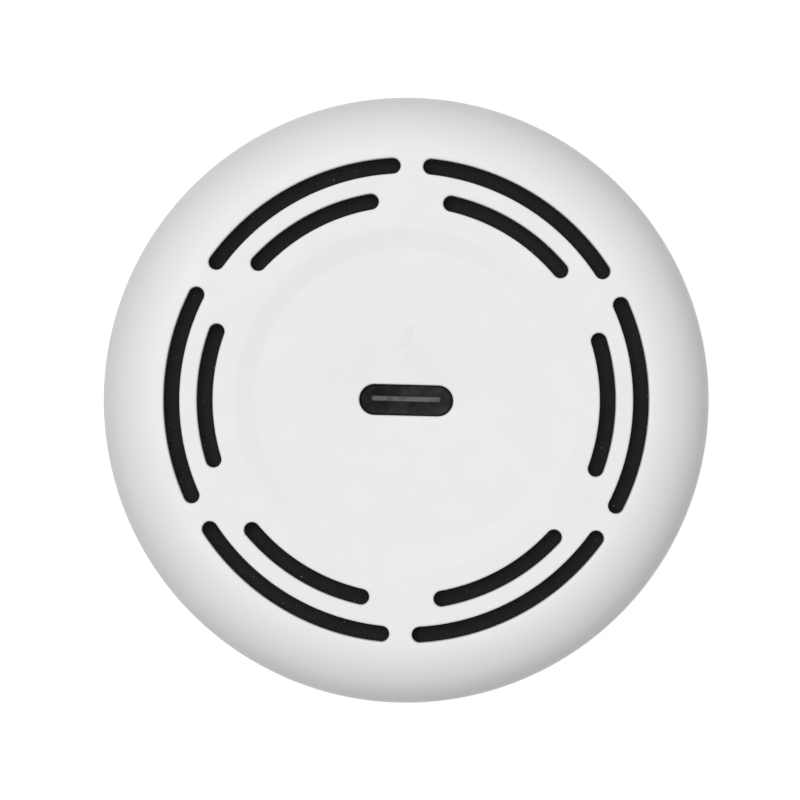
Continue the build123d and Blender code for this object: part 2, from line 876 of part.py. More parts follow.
def make_slots():
    """Cutters for the exhaust slots: pairs of curved slots about the axis."""
    slots = []
    for radius, angle in ((outer_slot_radius, outer_slot_angle), (inner_slot_radius, inner_slot_angle)):
        middle = CenterArc((0, 0), radius, -angle / 2, angle)
        cutter = extrude(SlotArc(middle.edge(), slot_width), 2 * cap_face_wall)
        slots += around(slot_count, Pos(0, 0, cap_inner_top) * cutter)
    return slots


def make_end_cap():
    centre = (body_radius - edge_radius, end_top - edge_radius)
    inner_centre = (shell_inner - cap_inner_fillet, cap_inner_top - cap_inner_fillet)
    side = Polyline(
        (shell_inner, cap_inner_top - cap_inner_fillet),
        (shell_inner, barrel_top + 2 * spigot_taper),
        (cap_spigot_inner, barrel_top + spigot_taper),
        (cap_spigot_inner, barrel_top - cap_spigot_height),
        (cap_spigot_radius, barrel_top - cap_spigot_height),
        (cap_spigot_radius, barrel_top),
        (body_radius - seam_bevel, barrel_top),
        (body_radius, barrel_top + seam_bevel),
        (body_radius, end_top - edge_radius),
    )
    face = Polyline(
        (body_radius - edge_radius, end_top),
        (dish_radius, end_top),
        (dish_floor_radius, end_top - dish_depth),
        (0, end_top - dish_depth),
        (0, cap_inner_top),
        (shell_inner - cap_inner_fillet, cap_inner_top),
    )
    outer_arc = CenterArc(centre, edge_radius, 0, 90)
    inner_arc = CenterArc(inner_centre, cap_inner_fillet, 0, 90)
    cap = turned(inner_arc + side + outer_arc + face) - make_slots()
    face_edges = cap.edges().filter_by_position(Axis.Z, end_top, end_top)
    slot_edges = [edge for edge in face_edges if edge.length < body_diameter]
    cap = fillet(slot_edges, slot_softening)
    port = SlotOverall(port_width, port_height)
    cap -= Pos(0, 0, cap_inner_top) * extrude(port, cap_face_wall)
    cap += around(catch_count, catch(catch_depth, catch_width, catch_height), 45)
    boss = ring(charge_screw[0] + press_gap, charge_boss_radius, charge_board_top, cap_inner_top)
    return cap + around(2, Pos(charge_boss_offset, 0, 0) * boss)


def make_exhaust_mesh():
    return ring(mesh_inner, mesh_outer, mesh_low, cap_inner_top)


def make_mesh_retainer():
    half_width = retainer_ring_width / 2
    inner_ring = ring(mesh_inner - half_width, mesh_inner + half_width, retainer_low, mesh_low)
    outer_ring = ring(mesh_outer - half_width, mesh_outer + half_width, retainer_low, mesh_low)
    middle = Pos((mesh_inner + mesh_outer) / 2, 0, (retainer_low + mesh_low) / 2)
    spoke = middle * Box(mesh_outer - mesh_inner, retainer_spoke_width, retainer_thickness)
    return inner_ring + outer_ring + around(slot_count, spoke, 180 / slot_count)


def make_charge_board():
    middle = Pos(0, 0, (charge_board_low + charge_board_top) / 2)
    hole = ring(0, charge_screw[0] + seat_gap, charge_board_low, charge_board_top)
    board = middle * Box(charge_board_width, charge_board_depth, charge_board_thickness)
    return board - around(2, Pos(charge_boss_offset, 0, 0) * hole)


def make_charge_screws():
    place = Pos(charge_boss_offset, 0, charge_board_low) * screw(charge_screw)
    return around(2, place)


def make_usb_shell():
    inner = SlotOverall(usb_width - 2 * usb_wall, usb_height - 2 * usb_wall)
    wall = SlotOverall(usb_width, usb_height) - inner
    return Pos(0, 0, charge_board_top) * extrude(wall, usb_depth)


def make_usb_tongue():
    inset = 2 * (usb_wall + seat_gap)
    base = extrude(SlotOverall(usb_width - inset, usb_height - inset), usb_base)
    blade = extrude(Rectangle(tongue_width, tongue_thickness), usb_depth - tongue_recess)
    return Pos(0, 0, charge_board_top) * (base + blade)


def make_motor_leads():
    height = motor_board_top + motor_lead_rise
    leads = []
    for step in (-1, 0, 1):
        across = step * lead_pitch
        leads.append(
            lead(
                (across, -motor_lead_circle, motor_board_top),
                (across, -motor_lead_circle, height),
                (across, board_inner_face, height),
            )
        )
    return leads


def make_battery_lead(angle, start, end):
    """Lead from a cell tab to the main board."""
    turn = math.radians(angle)
    across = cell_circle * math.cos(turn)
    along = cell_circle * math.sin(turn)
    return lead((across, along, start), (across, along, end), (across, board_inner_face, end))


def make_battery_leads():
    reach = motor_lead_rise + lead_radius
    front = make_battery_lead(cell_angles[2], cell_low - link_thickness, cell_low - link_thickness - reach)
    rear = make_battery_lead(cell_angles[1], cell_top + link_thickness, cell_top + link_thickness + reach)
    return [front, rear]


def make_charge_leads():
    board_middle = (board_inner_face + board_outer_face) / 2
    leads = []
    for side in (-1, 1):
        across = side * charge_lead_offset
        leads.append(
            lead(
                (across, -charge_lead_inset, charge_board_low),
                (across, -charge_lead_inset, charge_board_low - charge_lead_drop),
                (across, board_middle, board_top + charge_lead_rise),
                (across, board_middle, board_top),
            )
        )
    return leads


nodes = {
    "nose_shell": make_nose(),
    "nose_gasket": make_nose_gasket(),
    "dust_cup": make_dust_cup(),
    "cup_seal": make_cup_seal(),
    "inlet_duct": make_inlet_duct(),
    "flap_pin": make_flap_pin(),
    "inlet_flap": make_inlet_flap(),
    "filter_frame": make_filter_frame(),
    "filter_seal": make_filter_seal(),
    "filter_screen": make_filter_screen(),
    "filter_media": make_filter_media(),
    "barrel_shell": make_barrel(),
    "motor_plate": make_motor_plate(),
    "plate_screws": make_plate_screws(),
    "front_isolator": make_front_isolator(),
    "fan_shroud": make_fan_shroud(),
    "impeller": make_impeller(),
    "diffuser": make_diffuser(),
    "motor_can": make_motor_can(),
    "front_bearing": make_bearing(front_bearing_low),
    "rear_bearing": make_bearing(rear_bearing_top - bearing_width),
    "stator_core": make_stator_core(),
    "stator_coils": make_stator_coils(),
    "rotor_magnet": make_rotor_magnet(),
    "rotor_shaft": make_rotor_shaft(),
    "motor_board": make_motor_board(),
    "motor_board_screws": make_motor_board_screws(),
    "rear_isolator": make_rear_isolator(),
    "chassis": make_chassis(),
    "battery_cell_1": make_cell(cell_angles[0]),
    "battery_cell_2": make_cell(cell_angles[1]),
    "battery_cell_3": make_cell(cell_angles[2]),
    "front_holder": make_cell_holder(cell_low),
    "rear_holder": make_cell_holder(cell_top - holder_height),
    "front_links": make_cell_links(cell_angles[:2], cell_angles[2], cell_low - link_thickness),
    "rear_links": make_cell_links([cell_angles[2], cell_angles[0]], cell_angles[1], cell_top),
    "main_board": make_main_board(),
    "board_screws": make_board_screws(),
    "power_transistors": make_power_transistors(),
    "capacitor": make_capacitor(),
    "status_lights": make_status_lights(),
    "tact_switch": make_tact_switch(),
    "switch_plunger": make_switch_plunger(),
    "light_ring": make_light_ring(),
    "power_button": make_power_button(),
    "end_cap": make_end_cap(),
    "exhaust_mesh": make_exhaust_mesh(),
    "mesh_retainer": make_mesh_retainer(),
    "charge_board": make_charge_board(),
    "charge_screws": make_charge_screws(),
    "usb_shell": make_usb_shell(),
    "usb_tongue": make_usb_tongue(),
    "motor_leads": make_motor_leads(),
    "battery_leads": make_battery_leads(),
    "charge_leads": make_charge_leads(),
}

os.makedirs("parts", exist_ok=True)
for name, shape in nodes.items():
    if isinstance(shape, list):
        shape = Compound(children=shape)
    export_step(shape, f"parts/{name}.step")
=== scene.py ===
"""Looks of a slim cordless hand vacuum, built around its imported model.

Sizes are in millimetres, and points go into Blender in metres. The mouth rim stands on the floor at
Z = 0, the vented end cap faces up and the power button faces -Y.
"""

import logging
import math
from collections.abc import Callable, Iterable, Sequence
from dataclasses import dataclass, field
from enum import Enum
from typing import Self

import bmesh
import bpy
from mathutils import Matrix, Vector
from mathutils.geometry import delaunay_2d_cdt


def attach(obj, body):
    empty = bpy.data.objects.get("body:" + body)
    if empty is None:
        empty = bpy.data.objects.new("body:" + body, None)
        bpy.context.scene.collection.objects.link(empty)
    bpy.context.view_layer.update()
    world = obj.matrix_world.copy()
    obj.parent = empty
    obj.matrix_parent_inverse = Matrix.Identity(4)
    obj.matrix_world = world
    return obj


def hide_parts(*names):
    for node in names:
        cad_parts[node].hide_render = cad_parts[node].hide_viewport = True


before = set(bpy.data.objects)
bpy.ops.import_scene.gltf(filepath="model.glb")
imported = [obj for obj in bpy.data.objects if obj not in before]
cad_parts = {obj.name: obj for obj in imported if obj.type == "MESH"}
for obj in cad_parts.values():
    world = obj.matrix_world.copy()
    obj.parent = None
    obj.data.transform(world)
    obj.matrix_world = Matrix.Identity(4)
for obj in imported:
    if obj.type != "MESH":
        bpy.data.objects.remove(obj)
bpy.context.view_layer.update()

LOG = logging.getLogger("hand_vacuum")
MM = 0.001
AXIS = (0.0, 0.0)

# Points around a turned piece, around a piece that faces the front, and along smaller arcs.
TURN_STEPS = 288
FACING_STEPS = 96
ROUND_STEPS = 24
SLOT_SIDE_STEPS = 40
SLOT_END_STEPS = 16
SEAM_STEPS = 5
SOFT_STEPS = 6
# Longest straight piece in a rounded corner, and the fewest pieces that a corner has.
ARC_STEP = 0.3
CORNER_STEPS = 4
# Angle in degrees from which an edge looks sharp.
CREASE = 40.0
# Points are one where they agree to this many digits, and copies in an array where they are this close.
SAME_POINT_DIGITS = 3
WELD = 0.002
# Way of filling that leaves inner loops open, and its tolerance.
FILL_WITH_HOLES = 2
FILL_TOLERANCE = 1e-6
# Range that most clouds of a noise texture lie in, and the scale at which a wave has one band per step.
CLOUD_RANGE = (0.25, 0.75)
ONE_BAND = math.pi / 10
# Layers of finer clouds in colour, gloss and relief, and how much finer the gloss is than the colour.
COLOR_DETAIL = 2.0
GLOSS_DETAIL = 4.0
RELIEF_DETAIL = 3.0
GLOSS_FINENESS = 3.0

# What goes into a node's input; places in space and in a plane; values from and to; three sizes of one form;
# the depth of a face at a place across and up; and the pieces that a unit makes.
Socket = bpy.types.NodeSocket
Input = Socket | float | Sequence[float] | None
Point = tuple[float, float, float]
Flat = tuple[float, float]
Range = tuple[float, float]
Sizes = tuple[float, float, float]
Color = tuple[float, float, float]
Depth = Callable[[float, float], float]
Pieces = list[bpy.types.Object]


class Body(Enum):
    """Bodies of the model that pieces ride on."""

    CUP = "cup"
    FLAP = "flap"
    FILTER = "filter"
    BARREL = "barrel"
    BUTTON = "button"


class Slot(Enum):
    """Material slots of the record, one given with each new piece."""

    WHITE = "white_plastic"
    BUTTON = "button_plastic"
    SMOKED = "smoked_clear"
    LIGHT = "light_pipe"
    DARK = "dark_plastic"
    RUBBER = "black_rubber"
    STEEL = "steel"
    PAPER = "filter_cloth"
    MESH = "mesh_cloth"
    TONGUE = "tongue_grey"


class Lay(Enum):
    """Directions that the lines of a brushed surface run in, as stretches along X, Y and Z."""

    ALONG_X = (0.04, 1.0, 1.0)
    ALONG_Z = (1.0, 1.0, 0.04)
    AROUND_Z = (0.06, 0.06, 1.0)


class Wiring:
    """Node tree that is filled node by node."""

    def __init__(self, tree: bpy.types.NodeTree) -> None:
        """Takes the tree to fill."""
        self.tree = tree

    def put(self, socket: Socket, value: Input) -> None:
        """Links an output to an input, or sets the input to a value.

        Args:
            socket: The input.
            value: Output or value; None leaves the input alone.
        """
        if isinstance(value, Socket):
            self.tree.links.new(value, socket)
        elif value is not None:
            socket.default_value = value

    def fill(self, node: bpy.types.Node, inputs: dict[str, Input]) -> None:
        """Puts outputs and values into inputs of a node.

        Args:
            node: The node.
            inputs: Output or value for each input, by its name in lower case with underscores.
        """
        sockets = {socket.name.lower().replace(" ", "_"): socket for socket in reversed(node.inputs.values())}
        for name, value in inputs.items():
            self.put(sockets[name], value)

    def add(self, kind: str, *inputs: Input, how: str = "", **named: Input) -> bpy.types.Node:
        """Adds a node.

        Args:
            kind: Type of the node.
            inputs: Output or value for each input in order.
            how: Operation of a node that has more than one.
            named: Output or value for further inputs, by name.

        Returns:
            The new node.
        """
        node = self.tree.nodes.new(kind)
        if how:
            node.operation = how
        for socket, value in zip(node.inputs, inputs):
            self.put(socket, value)
        self.fill(node, named)
        return node

    def result(self, how: str, first: Input, second: Input = 0.0) -> Socket:
        """Result of an operation on one or two values."""
        return self.add("ShaderNodeMath", first, second, how=how).outputs[0]


class Shader(Wiring):
    """Material whose surface shader is fed by further nodes."""

    def __init__(self, name: str) -> None:
        """Starts a material.

        Args:
            name: Name of the material.
        """
        self.material = bpy.data.materials.new(name)
        self.material.use_nodes = True
        super().__init__(self.material.node_tree)
        self.surface = self.tree.nodes["Principled BSDF"]
        self.place = self.add("ShaderNodeTexCoord").outputs["Object"]

    def feed(self, **inputs: Input) -> None:
        """Puts outputs and values into the surface shader, by the names of its inputs."""
        self.fill(self.surface, inputs)

    def spot(self, size: float, stretch: Sizes = (1.0, 1.0, 1.0)) -> Socket:
        """Place on the piece, counted in steps of a size, with a factor on each axis."""
        scale = [factor / (size * MM) for factor in stretch]
        return self.add("ShaderNodeMapping", vector=self.place, scale=scale).outputs["Vector"]

    def noise(self, size: float, detail: float = COLOR_DETAIL, stretch: Sizes = (1.0, 1.0, 1.0)) -> Socket:
        """Uneven clouds from 0 to 1, of a size, with finer layers on top and a factor on each axis."""
        place = self.spot(size, stretch)
        return self.add("ShaderNodeTexNoise", vector=place, scale=1.0, detail=detail).outputs["Fac"]

    def bands(self, pitch: float, axis: str) -> Socket:
        """Soft parallel bands from 0 to 1.

        Args:
            pitch: Distance between bands.
            axis: Axis that the bands follow each other on.

        Returns:
            The bands as a value.
        """
        node = self.add("ShaderNodeTexWave", vector=self.spot(pitch), scale=ONE_BAND, distortion=0.0)
        node.bands_direction = axis
        return node.outputs["Fac"]

    def span(self, clouds: Socket, low: float, high: float) -> Socket:
        """Clouds moved into the range from low to high."""
        start, end = CLOUD_RANGE
        return self.add("ShaderNodeMapRange", clouds, start, end, low, high).outputs["Result"]

    def ramp(self, value: Socket, first: Color, second: Color, stops: Range = CLOUD_RANGE) -> Socket:
        """Colour between two colours.

        Args:
            value: Value that chooses between them.
            first: Colour at the first stop.
            second: Colour at the second stop.
            stops: Values of the stops.

        Returns:
            The colour.
        """
        node = self.add("ShaderNodeValToRGB", value)
        for stop, place, color in zip(node.color_ramp.elements, stops, (first, second)):
            stop.position = place
            stop.color = (*color, 1.0)
        return node.outputs["Color"]

    def bump(self, height: Socket, depth: float) -> Socket:
        """Normal of a relief with a depth."""
        return self.add("ShaderNodeBump", height=height, distance=depth * MM).outputs["Normal"]


def toned(color: Color, factor: float) -> Color:
    """Colour made lighter or darker by a factor."""
    return tuple(min(1.0, channel * factor) for channel in color)


@dataclass(frozen=True)
class Finish:
    """Moulded surface whose colour drifts a little, with uneven gloss and a fine relief.

    The drift is a share of the colour, sizes and the relief's depth are in millimetres, and mirror is the
    strength of what the surface reflects.
    """

    name: str
    color: Color
    roughness: float
    drift: float = 0.04
    drift_size: float = 9.0
    gloss_spread: float = 0.05
    relief: float = 0.004
    relief_size: float = 0.3
    metallic: float = 0.0
    mirror: float = 0.5

    def material(self) -> bpy.types.Material:
        """Material of the finish, made at its first use."""
        return bpy.data.materials.get(self.name) or self.make()

    def make(self) -> bpy.types.Material:
        """Builds the layers of the finish.

        Returns:
            The new material.
        """
        shader = Shader(self.name)
        low, high = self.roughness - self.gloss_spread, self.roughness + self.gloss_spread
        shader.feed(
            metallic=self.metallic,
            specular_ior_level=self.mirror,
            base_color=self.tone(shader),
            roughness=shader.span(self.wear(shader), low, high),
            normal=shader.bump(self.height(shader), self.relief),
            **self.extras(),
        )
        return shader.material

    def tone(self, shader: Shader) -> Socket:
        """Colour over the surface."""
        dark, pale = toned(self.color, 1 - self.drift), toned(self.color, 1 + self.drift)
        return shader.ramp(shader.noise(self.drift_size), dark, pale)

    def wear(self, shader: Shader) -> Socket:
        """Clouds that the gloss follows."""
        return shader.noise(self.drift_size / GLOSS_FINENESS, GLOSS_DETAIL)

    def height(self, shader: Shader) -> Socket:
        """Relief over the surface."""
        return shader.noise(self.relief_size, RELIEF_DETAIL)

    def extras(self) -> dict[str, float]:
        """Inputs of the surface shader that a plain moulding leaves alone."""
        return {}


@dataclass(frozen=True)
class Clear(Finish):
    """See-through plastic."""

    transmission: float = 1.0
    bend: float = 1.49

    def extras(self) -> dict[str, float]:
        """Inputs that let light through."""
        return {"transmission_weight": self.transmission, "ior": self.bend}


@dataclass(frozen=True)
class Brushed(Finish):
    """Metal with fine lines left by its making."""

    metallic: float = 1.0
    lay: Lay = Lay.AROUND_Z

    def wear(self, shader: Shader) -> Socket:
        """Gloss that follows the lines."""
        return self.height(shader)

    def height(self, shader: Shader) -> Socket:
        """Lines along the lay."""
        return shader.noise(self.relief_size, RELIEF_DETAIL, self.lay.value)


@dataclass(frozen=True)
class Woven(Finish):
    """Square weave with a few specks of dust."""

    pitch: float = 0.5
    speck: Color = (0.25, 0.25, 0.25)
    speck_size: float = 0.4
    speck_range: Range = (0.74, 0.84)

    def height(self, shader: Shader) -> Socket:
        """Threads that cross in X and Y."""
        return shader.result("MAXIMUM", shader.bands(self.pitch, "X"), shader.bands(self.pitch, "Y"))

    def tone(self, shader: Shader) -> Socket:
        """Dark threads, with dust where the clouds peak."""
        specks = shader.noise(self.speck_size, detail=1.0)
        return shader.ramp(specks, self.color, self.speck, self.speck_range)


@dataclass(frozen=True)
class Fibrous(Finish):
    """Non-woven cloth of pressed fibres."""

    sheen: float = 0.25
    fibre: float = 0.2
    fibre_detail: float = 4.0

    def height(self, shader: Shader) -> Socket:
        """Fibres that run every way.

        Args:
            shader: Material that gets the nodes.

        Returns:
            The relief.
        """
        ways = ((1.0, 1.0, self.fibre), (self.fibre, self.fibre, 1.0))
        fibres = [shader.noise(self.relief_size, self.fibre_detail, way) for way in ways]
        return shader.result("MAXIMUM", *fibres)

    def extras(self) -> dict[str, float]:
        """Soft sheen of cloth."""
        return {"sheen_weight": self.sheen}


@dataclass(frozen=True)
class Layered(Finish):
    """Metal in close layers along the axis, such as turns of wire or thin sheets."""

    metallic: float = 1.0
    layer: float = 0.5

    def height(self, shader: Shader) -> Socket:
        """Edges of the layers."""
        return shader.bands(self.layer, "Z")


@dataclass(frozen=True)
class BoardMask(Finish):
    """Solder mask over copper tracks."""

    track: Color = (0.06, 0.26, 0.10)
    track_size: float = 2.6
    track_edge: Range = (0.08, 0.11)

    def tone(self, shader: Shader) -> Socket:
        """Mask that is lighter over the tracks.

        Args:
            shader: Material that gets the nodes.

        Returns:
            The colour.
        """
        cells = shader.add("ShaderNodeTexVoronoi", vector=shader.spot(self.track_size), scale=1.0)
        cells.feature = "DISTANCE_TO_EDGE"
        return shader.ramp(cells.outputs["Distance"], self.track, self.color, self.track_edge)


WHITE_SATIN = Finish("white_satin", (0.86, 0.86, 0.865), 0.52, drift=0.006, relief=0.003, relief_size=0.22)
PALE_PRINT = Finish("pale_print", (0.814, 0.814, 0.819), 0.5, drift=0.01, drift_size=1.0, relief=0.002,
                    relief_size=0.2)
BUTTON_SATIN = Finish("button_satin", (0.80, 0.80, 0.81), 0.36, drift=0.01, relief=0.003, relief_size=0.2)
SMOKED_CLEAR = Clear("smoked_wall", (0.44, 0.445, 0.455), 0.05, drift=0.02, gloss_spread=0.02, relief=0.002,
                     relief_size=6.0)
FROSTED_RING = Clear("frosted_ring", (0.92, 0.94, 0.96), 0.5, drift=0.02, transmission=0.55, relief_size=0.15)
MATT_BLACK = Finish("matt_black", (0.028, 0.028, 0.030), 0.55, drift=0.15, relief=0.006)
SOFT_RUBBER = Finish("soft_rubber", (0.022, 0.022, 0.023), 0.72, drift=0.2, relief=0.008, relief_size=0.2)
BRIGHT_STEEL = Brushed("bright_steel", (0.60, 0.60, 0.62), 0.28, relief=0.002, relief_size=0.12)
# Steel darkened to near black, as dark as the inside of the port looks.
PORT_STEEL = Brushed("port_steel", (0.045, 0.045, 0.046), 0.42, relief=0.002, relief_size=0.1,
                     lay=Lay.ALONG_Z)
NICKEL_STRIP = Brushed("nickel_strip", (0.66, 0.64, 0.60), 0.25, relief=0.002, relief_size=0.1,
                       lay=Lay.ALONG_X)
CAST_ALLOY = Brushed("cast_metal", (0.62, 0.63, 0.65), 0.36, relief=0.004, relief_size=0.2)
MAGNET_PLATE = Brushed("magnet_plate", (0.22, 0.22, 0.23), 0.3, relief=0.002, relief_size=0.2,
                       lay=Lay.ALONG_Z)
CORE_SHEETS = Layered("core_sheets", (0.42, 0.42, 0.44), 0.4, relief=0.02)
COPPER_TURNS = Layered("copper_turns", (0.62, 0.27, 0.13), 0.34, relief=0.08, drift=0.1, metallic=0.9,
                       layer=0.35)
PLEATED_PAPER = Fibrous("pleated_paper", (0.80, 0.79, 0.74), 0.9, drift=0.05, drift_size=4.0, relief=0.03,
                        relief_size=0.25)
BLACK_WEAVE = Woven("black_weave", (0.0095, 0.0095, 0.0102), 0.85, relief=0.05, pitch=0.3, mirror=0.25)
CELL_WRAP = Finish("shrink_wrap", (0.05, 0.22, 0.36), 0.28, drift=0.06, drift_size=14.0, relief=0.01,
                   relief_size=2.5)
BOARD_GREEN = BoardMask("board_green", (0.02, 0.12, 0.05), 0.34, relief=0.01, relief_size=1.2)
CHIP_BLACK = Finish("chip_moulding", (0.03, 0.03, 0.032), 0.5, drift=0.12, relief=0.005, relief_size=0.1)
# Strong light and dark blotches on the tongue: partly its lighter contacts, partly painted highlights.
TONGUE_GREY = Finish("tongue_moulding", (0.084, 0.084, 0.085), 0.5, drift=0.9, drift_size=1.2, relief=0.003,
                     relief_size=0.1, mirror=0.26)
PLUNGER_IVORY = Finish("plunger_ivory", (0.74, 0.70, 0.58), 0.45, drift=0.04, relief_size=0.15)
CAPACITOR_CAN = Brushed("capacitor_case", (0.55, 0.56, 0.58), 0.3, relief=0.002, relief_size=0.15)
LIGHT_CHIP = Finish("light_lens", (0.90, 0.88, 0.70), 0.25, drift=0.05, drift_size=0.8, relief_size=0.1)
LEAD_RED = Finish("red_lead_jacket", (0.42, 0.02, 0.02), 0.45, drift=0.08, drift_size=3.0, relief_size=0.2)
LEAD_BLACK = Finish("black_lead_jacket", (0.02, 0.02, 0.022), 0.45, drift=0.15, drift_size=3.0,
                    relief_size=0.2)


def spaced(start: float, end: float, steps: int) -> list[float]:
    """Evenly spaced values from start to end, with both."""
    return [start + (end - start) * step / steps for step in range(steps + 1)]


def arc(centre: Flat, radius: float, start: float, end: float, steps: int) -> list[Flat]:
    """Points along an arc between two angles in degrees, with both ends."""
    turns = [math.radians(angle) for angle in spaced(start, end, steps)]
    return [(centre[0] + radius * math.cos(turn), centre[1] + radius * math.sin(turn)) for turn in turns]


def circle(radius: float, steps: int = TURN_STEPS, centre: Flat = AXIS) -> list[Flat]:
    """Points around a full circle, counter-clockwise."""
    return arc(centre, radius, 0.0, 360.0, steps)[:-1]


def rounded(*corners: tuple[float, ...]) -> list[Flat]:
    """Closed outline with rounded corners.

    Args:
        corners: Radius and height of each corner and, where it is rounded, the radius of its rounding.

    Returns:
        Radius and height of each point.
    """
    outline: list[Flat] = []
    for index, (across, up, *rounding) in enumerate(corners):
        if not rounding:
            outline.append((across, up))
            continue
        here = Vector((across, up))
        back = Vector(corners[index - 1][:2]) - here
        ahead = Vector(corners[(index + 1) % len(corners)][:2]) - here
        half = back.angle(ahead) / 2
        reach = min(rounding[0] / math.tan(half), back.length / 2, ahead.length / 2)
        radius = reach * math.tan(half)
        inward = (back.normalized() + ahead.normalized()).normalized()
        centre = here + inward * (radius / math.sin(half))
        first = here + back.normalized() * reach - centre
        last = here + ahead.normalized() * reach - centre
        start = math.degrees(math.atan2(first.y, first.x))
        turn = math.atan2(first.x * last.y - first.y * last.x, first.dot(last))
        steps = max(CORNER_STEPS, round(radius * abs(turn) / ARC_STEP))
        outline += arc(tuple(centre), radius, start, start + math.degrees(turn), steps)
    return outline


def curved_slot(middle: float, span: float, half_width: float, centre: float) -> list[Flat]:
    """Outline of a slot that follows an arc about the axis and has round ends.

    Args:
        middle: Radius of the slot's centre line.
        span: Angle of the centre line in degrees.
        half_width: Half of the slot's width.
        centre: Angle of the slot's middle in degrees.

    Returns:
        The points, counter-clockwise.
    """
    low, high = centre - span / 2, centre + span / 2
    low_end, high_end = arc(AXIS, middle, low, high, 1)
    return [
        *arc(AXIS, middle + half_width, low, high, SLOT_SIDE_STEPS)[:-1],
        *arc(high_end, half_width, high, high + 180, SLOT_END_STEPS)[:-1],
        *arc(AXIS, middle - half_width, high, low, SLOT_SIDE_STEPS)[:-1],
        *arc(low_end, half_width, low + 180, low + 360, SLOT_END_STEPS)[:-1],
    ]


def stadium(width: float, height: float) -> list[Flat]:
    """Outline with straight long sides and half-round ends, counter-clockwise."""
    ends = ((width - height) / 2, -90), ((height - width) / 2, 90)
    return [place for x, turn in ends for place in arc((x, 0.0), height / 2, turn, turn + 180, ROUND_STEPS)]


def softened(soft: float) -> list[Flat]:
    """Distance out from an edge and drop below the face, along its quarter-round."""
    turns = spaced(0.0, math.pi / 2, SOFT_STEPS)
    return [(soft * (1 - math.sin(turn)), soft * (1 - math.cos(turn))) for turn in turns]


def deeper(face: Depth, drop: float) -> Depth:
    """Face that lies deeper by a drop."""
    return lambda x, z: face(x, z) + drop


def placed(name: str, data: bpy.types.ID) -> bpy.types.Object:
    """Makes an object and links it to the scene.

    Args:
        name: Name of the object.
        data: Its mesh, light or camera.

    Returns:
        The object.
    """
    made = bpy.data.objects.new(name, data)
    bpy.context.scene.collection.objects.link(made)
    return made


